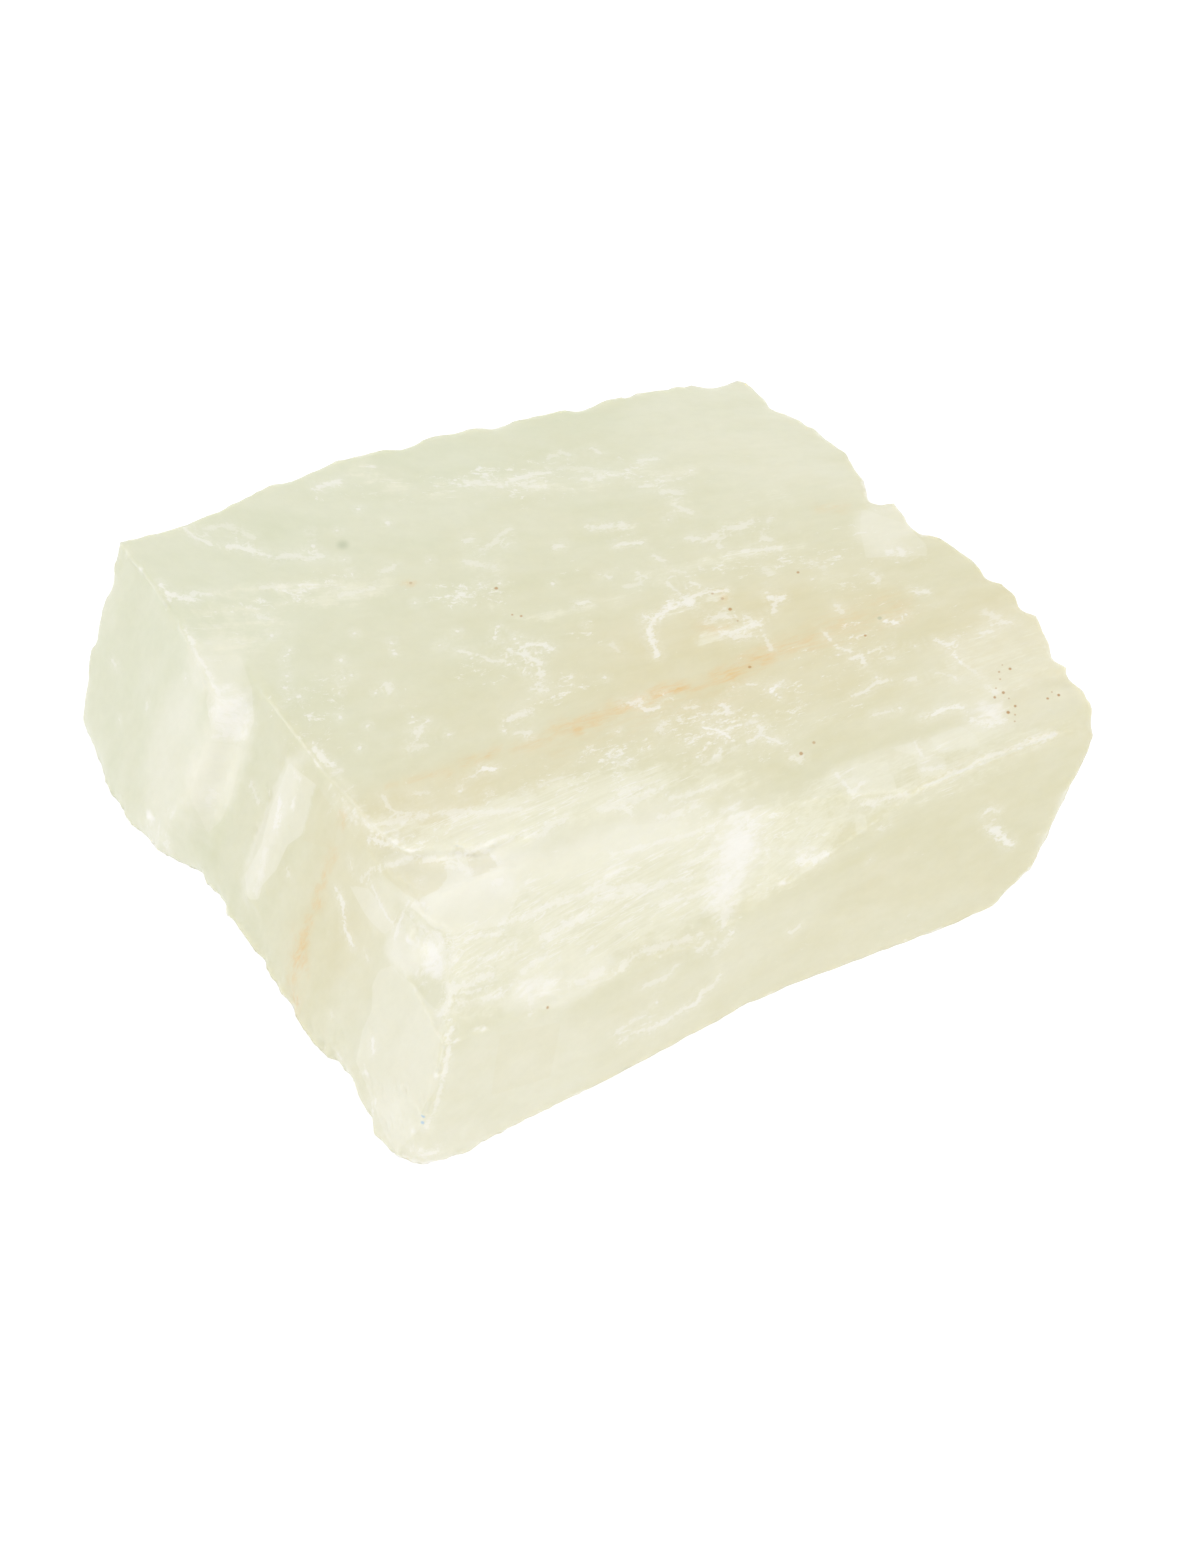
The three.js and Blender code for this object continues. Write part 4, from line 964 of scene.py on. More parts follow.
    def ease_breaks(self, form: bmesh.types.BMesh) -> None:
        """Rounds the shell-shaped breaks, and leaves the crisp edges as they are.

        Args:
            form: the block in cells.
        """
        held = {v for e in self.crisp_edges(form) for v in e.verts}
        slight = math.radians(self.slight_angle)
        bent = {v for e in form.edges if e.calc_face_angle(0.0) > slight for v in e.verts}
        bent = self.grown(bent, self.break_rings) - held
        self.relax(form, [v for v in bent if v.co.z > self.break_foot * MM], self.break_passes)

    def fill_grooves(self, form: bmesh.types.BMesh) -> None:
        """Eases the inner corners.

        Args:
            form: the block in cells.
        """
        form.normal_update()
        limit, top = math.radians(self.crisp_angle), self.groove_top * MM
        inner = {
            v
            for e in form.edges
            if e.calc_face_angle_signed(0.0) < -limit and max(w.co.z for w in e.verts) > top
            for v in e.verts
        }
        inner = self.grown(inner, self.groove_rings)
        self.relax(form, [v for v in inner if v.co.z > self.groove_foot * MM], self.groove_passes)

    def ease_broken_sides(self, form: bmesh.types.BMesh) -> None:
        """Takes the sharp ribs off the broken right end and back, but not their bulk.

        Args:
            form: the block in cells.
        """
        form.normal_update()
        faces = [
            f for f in form.faces if f.normal.x > self.right_lean or f.normal.y > self.back_lean
        ]
        broken = self.grown({v for f in faces for v in f.verts}, self.broken_rings)
        rough = [v for v in broken if v.co.z > self.broken_foot * MM]
        self.relax(form, rough, self.broken_passes, full=True)

    def wear_foot(self, form: bmesh.types.BMesh) -> None:
        """Rounds the foot and its worn ends in plan.

        Args:
            form: the block in cells.
        """
        for tip in self.tips:
            worn = [
                v
                for v in form.verts
                if math.hypot(v.co.x / MM - tip.x, v.co.y / MM - tip.y) < tip.reach
                and v.co.z < tip.height * MM
            ]
            self.relax(form, worn, tip.passes, level=True)
        foot = [v for v in form.verts if v.co.z < self.foot_height * MM]
        self.relax(form, foot, self.foot_passes, level=True, full=True)

    def bulge(self, form: bmesh.types.BMesh) -> None:
        """Moves the sides in and out a little, to the outline of the real piece.

        Args:
            form: the block in cells.
        """
        places = np.array([v.co[:] for v in form.verts]) / MM
        total, weight = np.zeros_like(places), np.zeros(len(places))
        for nudge in self.nudges:
            away = (places - np.array(nudge[:3])) / np.array(self.nudge_reach)
            near = np.exp(-(away**2).sum(axis=1))
            total += near[:, None] * np.array((*nudge[3:], 0.0))
            weight += near
        self.place(form, places + total / np.maximum(weight, 1.0)[:, None])

    def place(self, form: bmesh.types.BMesh, places: np.ndarray) -> None:
        """Moves every vertex to its new place."""
        for vert, place in zip(form.verts, places):
            vert.co = Vector(place) * MM

    def grown(self, verts: set[bmesh.types.BMVert], rings: int) -> set[bmesh.types.BMVert]:
        """The vertices and those within a number of edges from them.

        Args:
            verts: some of the vertices.
            rings: how many edges away the others may be.

        Returns:
            All of them.
        """
        for _ in range(rings):
            verts = verts | {e.other_vert(v) for v in verts for e in v.link_edges}
        return verts

    def relax(
        self,
        form: bmesh.types.BMesh,
        verts: list[bmesh.types.BMVert],
        passes: int,
        level: bool = False,
        full: bool = False,
    ) -> None:
        """Smooths the given vertices a number of times.

        Args:
            form: the block in cells.
            verts: the vertices that may move.
            passes: how often they are smoothed.
            level: keeps their heights.
            full: swells each pass back out, which takes away bumps but not bulk.
        """
        axes = {"use_axis_x": True, "use_axis_y": True, "use_axis_z": not level}
        for _ in range(passes):
            for factor in self.swing if full else self.swing[:1]:
                bmesh.ops.smooth_vert(form, verts=verts, factor=factor, **axes)

    def read_skin(self, form: bmesh.types.BMesh) -> Skin:
        """Reads the block's places, directions and distances to its crisp edges.

        Args:
            form: the block in cells.

        Returns:
            The skin, in the order of the vertices.
        """
        form.verts.index_update()
        places = np.array([v.co for v in form.verts]) / MM
        facing = np.array([v.normal for v in form.verts])
        corners = list({v.index for e in self.crisp_edges(form) for v in e.verts})
        tree = nearest_of(places[corners])
        found = [tree.find(p) for p in places]
        gaps = np.array([hit[2] for hit in found])
        nearest = np.array(corners)[[hit[1] for hit in found]]
        hollow, brink = (
            self.hollows(form, places, facing, passes)
            for passes in (self.hollow_passes, self.brink_passes)
        )
        return Skin(places, facing, gaps, nearest, hollow, brink)

    def hollows(
        self, form: bmesh.types.BMesh, places: np.ndarray, facing: np.ndarray, passes: int
    ) -> np.ndarray:
        """How far each vertex lies below its eased surroundings.

        Args:
            form: the block in cells.
            places: its vertices.
            facing: their outward directions.
            passes: how far the surroundings reach.

        Returns:
            One depth a vertex, above zero in an inner corner.
        """
        ends = np.array([(e.verts[0].index, e.verts[1].index) for e in form.edges])
        count = len(places)
        links = np.maximum(np.bincount(ends.ravel(), minlength=count), 1)[:, None]
        eased = places.copy()
        for _ in range(passes):
            sums = [
                np.bincount(ends[:, 0], side[ends[:, 1]], count)
                + np.bincount(ends[:, 1], side[ends[:, 0]], count)
                for side in eased.T
            ]
            eased = (eased + np.stack(sums, axis=1) / links) / 2.0
        return ((eased - places) * facing).sum(axis=1)

    def grain(self, skin: Skin) -> np.ndarray:
        """Where each vertex lies along and across the crystal's grain.

        The grain runs along X and bends a little towards the back. On the left side it runs
        down the face instead.

        Args:
            skin: the block's places and directions.

        Returns:
            The place along the grain, then the two across it.
        """
        x, y, z = skin.places.T
        level = (x, y - x * (self.grain_slope + self.grain_bend * y), z)
        along, across = self.grain_lean
        upright = (z * along + self.grain_shift, y + across * z, x)
        side = (skin.facing[:, 0] < self.left_facing)[:, None]
        return np.where(side, np.stack(upright, axis=1), np.stack(level, axis=1))

    def relief(self, skin: Skin) -> np.ndarray:
        """How far the grain, the terraces, the ridges and the breaks raise each vertex.

        Args:
            skin: the block's places and directions.

        Returns:
            One height a vertex.
        """
        grain, facing = self.grain(skin), skin.facing
        lift = self.grain_depth * self.grain_swell.at(grain)
        terrace = self.terrace_swell.at(grain) * self.terrace_count
        upper = smooth_step(facing[:, 2], *self.upper_facing)
        step = self.side_terrace_depth + (self.terrace_depth - self.side_terrace_depth) * upper
        lift += step * (np.floor(terrace) + smooth_step(terrace % 1.0, 0.0, self.terrace_rise))
        band = smooth_step(-facing[:, 1], *self.band_outward)
        band *= smooth_step(facing[:, 2], *self.band_upward)
        band *= smooth_step(skin.places[:, 2], *self.band_height)
        lift += self.band_depth * band * (1.0 - 2.0 * np.abs(self.band_swell.at(grain)))
        right = smooth_step(facing[:, 0], *self.right_facing)
        broken = np.maximum(right, smooth_step(facing[:, 1], *self.back_facing))
        return lift + self.break_depth * broken * self.break_swell.at(skin.places)

    def chips(self, swell: Swell, places: np.ndarray) -> np.ndarray:
        """How deep a field of chips bites at each place, from 0 to 1."""
        return np.clip(swell.at(places) + self.chip_share, 0.0, 1.0)

    def weather(self, form: bmesh.types.BMesh, skin: Skin) -> None:
        """Moves the surface in and out for its relief and its chipped edges and foot.

        Args:
            form: the block in cells.
            skin: the block's places and directions.
        """
        places, facing, gap = skin.places, skin.facing, skin.edge_gap
        low = 1.0 - smooth_step(places[:, 2], *self.foot_chip_heights)
        edge = np.exp(-((gap / self.chip_reach) ** 2))
        chips = self.chip_depth * edge * self.chips(self.chip_swell, places) * (1.0 - low)
        moved = places + facing * (self.relief(skin) - chips)[:, None]
        flat = np.array((1.0, 1.0, 0.0))
        outward = facing * flat
        outward /= np.maximum(np.linalg.norm(outward, axis=1), self.least_outward)[:, None]
        bites = self.chips(self.foot_chip_swell, places * flat)
        moved -= outward * (self.foot_chip_depth * low * bites)[:, None]
        base = places[:, 2] < self.base_height
        inner = base & (gap > self.rim_gap)
        pull = np.clip(1.0 - gap / self.rim_reach, 0.0, 1.0)[:, None]
        moved[inner] = (places + (moved - places)[skin.edge_near] * pull)[inner]
        moved[base, 2] = 0.0
        moved[:, 2] = np.maximum(moved[:, 2], 0.0)
        self.place(form, moved)
        form.normal_update()

    def rebase(self, form: bmesh.types.BMesh, skin: Skin) -> Skin:
        """Closes the block below with one clean, level base.

        Args:
            form: the weathered block.
            skin: its places and directions.

        Returns:
            The skin of the vertices that are left.
        """
        number = form.verts.layers.int.new("number")
        for i, vert in enumerate(form.verts):
            vert[number] = i
        flat = self.flat_height * MM
        below = [f for f in form.faces if all(v.co.z < flat for v in f.verts)]
        bmesh.ops.delete(form, geom=below, context="FACES")
        kept = [v[number] for v in form.verts]
        form.verts.layers.int.remove(number)
        rim = [e for e in form.edges if e.is_boundary]
        around = {
            v: [e.other_vert(v) for e in v.link_edges if e.is_boundary]
            for e in rim
            for v in e.verts
        }
        for _ in range(self.rim_passes):
            eased = [
                (v.co + sum((o.co for o in near), Vector()) / len(near)) / 2
                for v, near in around.items()
            ]
            for vert, place in zip(around, eased):
                vert.co = place * Vector((1.0, 1.0, 0.0))
        bmesh.ops.triangle_fill(form, use_beauty=True, edges=rim, normal=(0.0, 0.0, -1.0))
        bmesh.ops.recalc_face_normals(form, faces=form.faces)
        form.normal_update()
        open_edges = sum(not e.is_manifold for e in form.edges)
        log.info("base: %d rim edges, %d edges left open", len(rim), open_edges)
        return Skin(*(getattr(skin, item.name)[kept] for item in fields(skin)))


@dataclass
class Markings:
    """The block's markings, worked out on its vertices for the material to read."""

    veins: dict[Mark, tuple[Line, ...]] = field(default_factory=lambda: VEINS)
    patches: dict[Mark, tuple[Patch, ...]] = field(default_factory=lambda: PATCHES)
    panes: tuple[Pane, ...] = PANES
    splinters: tuple[Line, ...] = SPLINTERS
    base_amounts: dict[Mark, float] = field(
        default_factory=lambda: {
            Mark.FROST: 0.0,
            Mark.VEIL: 0.1,
            Mark.HONEY: 0.16,
            Mark.MILK: 0.22,
            Mark.IRON: 0.0,
            Mark.FLECKS: 0.1,
        }
    )
    # how far the markings wander from their drawn lines
    wander_depth: float = 0.7
    wander_swells: tuple[Swell, ...] = tuple(
        Swell((2.6, 1.8, 1.8), 4, shift) for shift in (1.5, 4.5, 8.5)
    )
    # how green turns to honey: at the middle, along X, along Y, and unevenly
    honey_start: float = 0.12
    honey_right: float = 0.0035
    honey_back: float = -0.0062
    honey_uneven: float = 0.06
    honey_swell: Swell = Swell((16.0, 9.0, 12.0), 3, 2.2)
    # the whitish line that wear leaves on the crisp edges
    worn_reach: float = 0.7
    worn_most: float = 0.7
    worn_rule: Span = (1.5, -0.08)
    worn_swell: Swell = Swell((2.4, 2.4, 2.4), 4, 9.1)
    # how much a vein comes and goes
    vein_cut: float = 3.5
    vein_break: float = 0.4
    vein_rule: Span = (0.9, 0.5)
    vein_swell: Swell = Swell((2.4, 1.6, 1.0), 2)
    # how far splinters and panes are measured
    splinter_reach: float = 4.0
    splinter_fade: float = 1.6
    far_away: float = 9.0
    plain_half: float = 0.3
    pane_reach: float = 3.0
    pane_margin: float = 1.0
    upright: float = 0.7

    def paint(self, mesh: bpy.types.Mesh, skin: Skin, grain: np.ndarray) -> None:
        """Writes the markings and the grain onto the mesh.

        Args:
            mesh: the finished mesh.
            skin: the block's places and directions.
            grain: where each vertex lies along and across the grain.
        """
        values = {mark.value: value for mark, value in self.amounts(skin).items()}
        values |= self.splinter_fields(skin) | self.pane_fields(skin.places)
        values |= {"hollow": skin.hollow, "brink": skin.brink, "grain": grain}
        for name, value in values.items():
            flat = value.ndim == 1
            layer = mesh.attributes.new(name, "FLOAT" if flat else "FLOAT_VECTOR", "POINT")
            layer.data.foreach_set("value" if flat else "vector", value.astype(np.float32).ravel())

    def amounts(self, skin: Skin) -> dict[Mark, np.ndarray]:
        """How strong each kind of marking is at each vertex, from 0 to 1.

        Args:
            skin: the block's places and directions.

        Returns:
            One amount a vertex for each kind.
        """
        off = np.stack([swell.at(skin.places) for swell in self.wander_swells], axis=1)
        places = skin.places + self.wander_depth * off
        found = {mark: np.full(len(places), self.base_amounts[mark]) for mark in Mark}
        found[Mark.HONEY] += self.honey_drift(skin.places)
        found[Mark.FROST] = self.edge_frost(skin)
        for mark, patches in self.patches.items():
            for patch in patches:
                found[mark] += self.patch_amount(patch, places)
        for mark, veins in self.veins.items():
            for line in veins:
                found[mark] = np.maximum(found[mark], self.vein_amount(line, places))
        return {mark: np.clip(value, 0.0, 1.0) for mark, value in found.items()}

    def honey_drift(self, places: np.ndarray) -> np.ndarray:
        """How the body colour turns from green at the back left to honey at the front right."""
        slope = self.honey_right * places[:, 0] + self.honey_back * places[:, 1]
        return slope + self.honey_start + self.honey_uneven * self.honey_swell.at(places)

    def edge_frost(self, skin: Skin) -> np.ndarray:
        """The thin whitish line that wear leaves on the crisp edges.

        Args:
            skin: the block's places and directions.

        Returns:
            One amount a vertex.
        """
        gain, start = self.worn_rule
        worn = np.clip(gain * self.worn_swell.at(skin.places) + start, 0.0, self.worn_most)
        return worn * np.exp(-((skin.edge_gap / self.worn_reach) ** 2))

    def vein_amount(self, line: Line, places: np.ndarray) -> np.ndarray:
        """How strong one vein is at each vertex.

        Args:
            line: the vein.
            places: the vertices, moved a little so that it wanders.

        Returns:
            One amount a vertex.
        """
        near, along = line_distance(places, line.points)
        reach = near < self.vein_cut * line.width
        near, along = near[reach], along[reach]
        spots = np.stack([along, near, np.full(len(near), line.points[0][0])], 1)
        gain, start = self.vein_rule
        uneven = 1.0 - self.vein_break * (start + gain * self.vein_swell.at(spots))
        amount = np.zeros(len(places))
        amount[reach] = line.strength * uneven * np.exp(-((near / line.width) ** 2))
        return amount

    def patch_amount(self, patch: Patch, places: np.ndarray) -> np.ndarray:
        """How strong one patch is at each vertex.

        Args:
            patch: the patch.
            places: the vertices, moved a little so that its rim wanders.

        Returns:
            One amount a vertex.
        """
        turn = math.radians(patch.turn)
        away = places - np.array(patch.centre)
        along = away[:, 0] * math.cos(turn) + away[:, 1] * math.sin(turn)
        across = away[:, 1] * math.cos(turn) - away[:, 0] * math.sin(turn)
        local = np.stack([along, across, away[:, 2]], axis=1) / np.array(patch.halves)
        far = np.linalg.norm(local, axis=1)
        return patch.strength * (1.0 - smooth_step(far, 1.0 - patch.soft, 1.0 + patch.soft))

    def settled(self, skin: Skin) -> list[np.ndarray]:
        """The corners of the splinters, laid down onto the surface.

        Args:
            skin: the block's places and directions.

        Returns:
            The corners of each splinter, one a row.
        """
        tree = nearest_of(skin.places)
        laid = []
        for line in self.splinters:
            spots = np.array(line.points, dtype=float)
            near = [tree.find(spot)[1] for spot in spots]
            off = ((skin.places[near] - spots) * skin.facing[near]).sum(axis=1)
            laid.append(spots + skin.facing[near] * off[:, None])
        return laid

    def splinter_fields(self, skin: Skin) -> dict[str, np.ndarray]:
        """The way from each vertex to its nearest splinter.

        Args:
            skin: the block's places and directions.

        Returns:
            The way there, its length, and the splinter's half width and strength.
        """
        places = skin.places
        count = len(places)
        ways, far = np.zeros((count, 3)), np.full(count, self.far_away)
        half, strength = np.full(count, self.plain_half), np.zeros(count)
        for mark, line in zip(self.splinters, self.settled(skin)):
            inside = (places > line.min(0) - self.splinter_reach).all(1)
            inside &= (places < line.max(0) + self.splinter_reach).all(1)
            near = np.flatnonzero(inside)
            for a, b in zip(line, line[1:]):
                way = gap_to(places[near], a, b)[0]
                length = np.linalg.norm(way, axis=1)
                closer = length - mark.width / 2 < far[near] - half[near]
                found = near[closer]
                ways[found], far[found] = way[closer], length[closer]
                half[found], strength[found] = mark.width / 2, mark.strength
        strength[far - half > self.splinter_fade] = 0.0
        return {
            "splinter_way": ways,
            "splinter_far": far,
            "splinter_half": half,
            "splinter_strength": strength,
        }

    def pane_fields(self, places: np.ndarray) -> dict[str, np.ndarray]:
        """How deep each vertex lies inside a pane, and how pale that pane is.

        Args:
            places: the vertices.

        Returns:
            The depth inside the nearest pane's sides, below zero outside, and its amount.
        """
        inside = np.full(len(places), -self.pane_reach)
        amount = np.zeros(len(places))
        for pane in self.panes:
            corners = np.array(pane.corners)
            middle = corners.mean(0)
            facing = np.cross(corners - middle, np.roll(corners, -1, 0) - middle).sum(0)
            facing /= np.linalg.norm(facing)
            up = (0.0, 0.0, 1.0) if abs(facing[2]) < self.upright else (0.0, 1.0, 0.0)
            across = np.cross(facing, up)
            across /= np.linalg.norm(across)
            plane = np.stack([across, np.cross(facing, across)], axis=1)
            height = np.abs((places - middle) @ facing)
            reach = np.linalg.norm(corners - middle, axis=1).max() + self.pane_reach
            close = np.linalg.norm(places - middle, axis=1) < reach
            near = np.flatnonzero(close & (height < pane.depth + self.pane_margin))
            side = polygon_depth((places[near] - middle) @ plane, (corners - middle) @ plane)
            side = np.minimum(side, pane.depth - height[near])
            nearer = side > inside[near]
            inside[near[nearer]] = side[nearer]
            amount[near[nearer]] = pane.amount
        return {"pane": inside, "pane_amount": amount}


@dataclass
class CalciteBlock:
    """The block itself: its shape and its markings."""

    name: str = "calcite_block"
    slot: str = "calcite"
    shading_angle: float = 40.0
    form: Form = field(default_factory=Form)
    markings: Markings = field(default_factory=Markings)

    def build(self) -> bpy.types.Object:
        """Makes the finished block, without its material.

        Returns:
            The block's object.
        """
        form, skin = self.form.build()
        mesh = bpy.data.meshes.new(self.name)
        form.to_mesh(mesh)
        form.free()
        mesh.set_sharp_from_angle(angle=math.radians(self.shading_angle))
        self.markings.paint(mesh, skin, self.form.grain(skin))
        block = bpy.data.objects.new(self.name, mesh)
        bpy.context.scene.collection.objects.link(block)
        log.info("%s: %d triangles", self.name, len(mesh.polygons))
        return block


@dataclass(frozen=True)
class Noise:
    """Fractal noise along the grain: its cells, its make-up, how far it is warped, its shift."""

    cell: Point
    detail: float
    roughness: float
    warp: float = 0.0
    shift: Point = (0.0, 0.0, 0.0)


class Wiring:
    """A short way to add and join the nodes of one tree."""

    def __init__(self, tree: bpy.types.NodeTree) -> None:
        """Starts on a tree that may already hold nodes."""
        self.tree = tree

    def add(self, kind: str, **settings: object) -> bpy.types.Node:
        """A new node with the given settings.

        Args:
            kind: its kind, without the leading ShaderNode.
            settings: its properties.

        Returns:
            The node.
        """
        node = self.tree.nodes.new(f"ShaderNode{kind}")
        for name, value in settings.items():
            setattr(node, name, value)
        return node

    def join(self, source: object, target: bpy.types.NodeSocket) -> None:
        """Joins a socket to another, or sets the other to a plain value.

        Args:
            source: the socket or value.
            target: the socket that it goes to.
        """
        if isinstance(source, bpy.types.NodeSocket):
            self.tree.links.new(source, target)
        else:
            target.default_value = source

    def step(self, kind: str, how: str, *values: object) -> bpy.types.Node:
        """One arithmetic step on sockets or plain values.

        Args:
            kind: Math or VectorMath.
            how: the operation.
            values: what goes in, in order.

        Returns:
            The node.
        """
        node = self.add(kind, operation=how)
        for value, socket in zip(values, node.inputs):
            self.join(value, socket)
        return node

    def sum(self, how: str, *values: object) -> bpy.types.NodeSocket:
        """The result of one arithmetic step on numbers."""
        return self.step("Math", how, *values).outputs[0]

    def line(self, value: object, slope: float, start: object) -> bpy.types.NodeSocket:
        """The value times the slope, from the start."""
        return self.sum("MULTIPLY_ADD", value, slope, start)

    def times(self, a: object, b: object) -> bpy.types.NodeSocket:
        """Two numbers multiplied."""
        return self.sum("MULTIPLY", a, b)

    def most(self, a: object, b: object) -> bpy.types.NodeSocket:
        """The larger of two numbers."""
        return self.sum("MAXIMUM", a, b)

    def blend(self, share: object, a: object, b: object) -> bpy.types.NodeSocket:
        """A colour that goes from a to b.

        Args:
            share: how far it has gone, from 0 to 1.
            a: the first colour.
            b: the second colour.

        Returns:
            The colour.
        """
        node = self.add("Mix", data_type="RGBA")
        for value, place in ((share, 0), (a, 6), (b, 7)):
            self.join(value, node.inputs[place])
        return node.outputs[2]

    def rise(self, value: object, low: object, high: object) -> bpy.types.NodeSocket:
        """A mask that rises smoothly from 0 at low to 1 at high.

        Args:
            value: what is looked at.
            low: where the mask starts.
            high: where it is full.

        Returns:
            The mask.
        """
        node = self.add("MapRange", interpolation_type="SMOOTHSTEP")
        for name, number in (("Value", value), ("From Min", low), ("From Max", high)):
            self.join(number, node.inputs[name])
        return node.outputs["Result"]

    def noise(self, grain: object, look: Noise) -> bpy.types.NodeSocket:
        """Noise from 0 to 1 at a place along the grain.

        Args:
            grain: the place.
            look: what the noise is like.

        Returns:
            The noise.
        """
        cells = self.add("Mapping", vector_type="POINT")
        self.join(grain, cells.inputs["Vector"])
        cells.inputs["Scale"].default_value = tuple(1.0 / side for side in look.cell)
        cells.inputs["Location"].default_value = look.shift
        node = self.add("TexNoise", noise_dimensions="3D")
        self.join(cells.outputs["Vector"], node.inputs["Vector"])
        node.inputs["Scale"].default_value = 1.0
        node.inputs["Detail"].default_value = look.detail
        node.inputs["Roughness"].default_value = look.roughness
        node.inputs["Distortion"].default_value = look.warp
        return node.outputs["Fac"]

    def uneven(self, grain: object, look: Noise) -> bpy.types.NodeSocket:
        """Noise about its middle, from -0.5 to 0.5."""
        return self.sum("SUBTRACT", self.noise(grain, look), 0.5)

    def reach(self, value: object, low: object, above: float) -> bpy.types.NodeSocket:
        """A mask that rises smoothly from 0 at low to 1 a given step above it."""
        return self.rise(value, low, self.sum("ADD", low, above))

    def amount(self, name: str) -> bpy.types.NodeSocket:
        """A number that is painted on the mesh."""
        return self.add("Attribute", attribute_name=name).outputs["Fac"]

    def vector(self, name: str) -> bpy.types.NodeSocket:
        """A vector that is painted on the mesh."""
        return self.add("Attribute", attribute_name=name).outputs["Vector"]

    def group(self, tree: bpy.types.NodeTree, **inputs: object) -> bpy.types.Node:
        """Places a node group and joins its inputs.

        Args:
            tree: the group.
            inputs: what goes into each of its inputs.

        Returns:
            The node.
        """
        node = self.add("Group", node_tree=tree)
        for name, value in inputs.items():
            self.join(value, node.inputs[name])
        return node


class Group(Wiring):
    """A shader node group that reads named inputs and puts out masks."""

    def __init__(
        self, name: str, outputs: Sequence[str], vectors: Sequence[str], **numbers: float
    ) -> None:
        """Starts a group.

        Args:
            name: the group's name.
            outputs: the names of its masks.
            vectors: the names of its vector inputs.
            numbers: the names and plain values of its other inputs.
        """
        super().__init__(bpy.data.node_groups.new(name, "ShaderNodeTree"))
        sockets = self.tree.interface.new_socket
        for label in vectors:
            sockets(label, in_out="INPUT", socket_type="NodeSocketVector")
        for label, value in numbers.items():
            socket = sockets(label, in_out="INPUT", socket_type="NodeSocketFloat")
            socket.default_value = value
        for label in outputs:
            sockets(label, in_out="OUTPUT", socket_type="NodeSocketFloat")
        self.inputs = self.tree.nodes.new("NodeGroupInput").outputs
        self.outputs = self.tree.nodes.new("NodeGroupOutput").inputs

    def put_out(self, name: str, value: object) -> None:
        """Gives a mask its value."""
        self.join(value, self.outputs[name])


@dataclass(frozen=True)
class VeilLook:
    """Milky veils and thin threads that run along the grain."""

    streak: Noise = Noise((7.0, 1.4, 1.4), 8.0, 0.7, 0.8)
    crumb: Noise = Noise((1.3, 0.8, 0.8), 5.0, 0.72, 0.4, (5.0, 3.0, 1.0))
    stripe: Noise = Noise((14.0, 0.42, 0.42), 4.0, 0.6, 0.3, (6.0, 2.0, 7.0))
    thread: Noise = Noise((12.0, 0.8, 0.8), 6.0, 0.55, 0.6, (3.0, 1.0, 5.0))
    gaps: Noise = Noise((5.0, 2.4, 2.4), 3.0, 0.6, 0.0, (9.0, 2.0, 4.0))
    streak_share: float = 0.5
    # the level that the cloud has to reach for an amount, and how softly it rises there
    cloud_level: Span = (-0.36, 0.64)
    cloud_rise: float = 0.2
    # how much of a veil is cloud, and how much is even haze
    cloud_share: float = 0.75
    haze_share: float = 0.25
    stripe_span: Span = (0.36, 0.62)
    stripe_share: Span = (0.46, 0.66)
    # the threads, and the level that shows them for an amount
    thread_width: float = 0.035
    thread_level: Span = (-0.3, 0.72)
    thread_rise: float = 0.16

    def group(self) -> bpy.types.NodeTree:
        """Builds the node group.

        Returns:
            The group.
        """
        wire = Group("veils", ("Veil", "Thread"), ("Grain",), Amount=0.5)
        grain, amount = wire.inputs["Grain"], wire.inputs["Amount"]
        cloud = wire.times(wire.noise(grain, self.streak), self.streak_share)
        cloud = wire.line(wire.noise(grain, self.crumb), 1.0 - self.streak_share, cloud)
        veil = wire.reach(cloud, wire.line(amount, *self.cloud_level), self.cloud_rise)
        veil = wire.line(veil, self.cloud_share, wire.times(amount, self.haze_share))
        stripes = wire.rise(wire.noise(grain, self.stripe), *self.stripe_span)
        wire.put_out("Veil", wire.times(veil, wire.line(stripes, *self.stripe_share)))
        crest = wire.sum("ABSOLUTE", wire.uneven(grain, self.thread))
        thread = wire.sum("SUBTRACT", 1.0, wire.rise(crest, 0.0, self.thread_width))
        least = wire.line(amount, *self.thread_level)
        shown = wire.reach(wire.noise(grain, self.gaps), least, self.thread_rise)
        wire.put_out("Thread", wire.times(thread, shown))
        return wire.tree


@dataclass(frozen=True)
class FleckLook:
    """Small bright crumbs in loose clusters, a little longer along the grain."""

    cluster: Noise = Noise((7.0, 4.0, 4.0), 2.0, 0.5, 0.0, (2.0, 8.0, 3.0))
    crumb: Noise = Noise((1.5, 0.8, 0.8), 6.0, 0.8, 0.4, (7.0, 3.0, 2.0))
    # how much an amount and a cluster raise the crumbs, and the level where they show
    amount_lift: float = 0.22
    cluster_lift: float = 0.4
    level: Span = (0.94, 1.06)
    whiteness: float = 0.75

    def group(self) -> bpy.types.NodeTree:
        """Builds the node group.

        Returns:
            The group.
        """
        wire = Group("flecks", ("Fleck",), ("Grain",), Amount=0.5)
        grain = wire.inputs["Grain"]
        lift = wire.times(wire.inputs["Amount"], self.amount_lift)
        lift = wire.line(wire.noise(grain, self.cluster), self.cluster_lift, lift)
        crumbs = wire.sum("ADD", wire.noise(grain, self.crumb), lift)
        wire.put_out("Fleck", wire.times(wire.rise(crumbs, *self.level), self.whiteness))
        return wire.tree


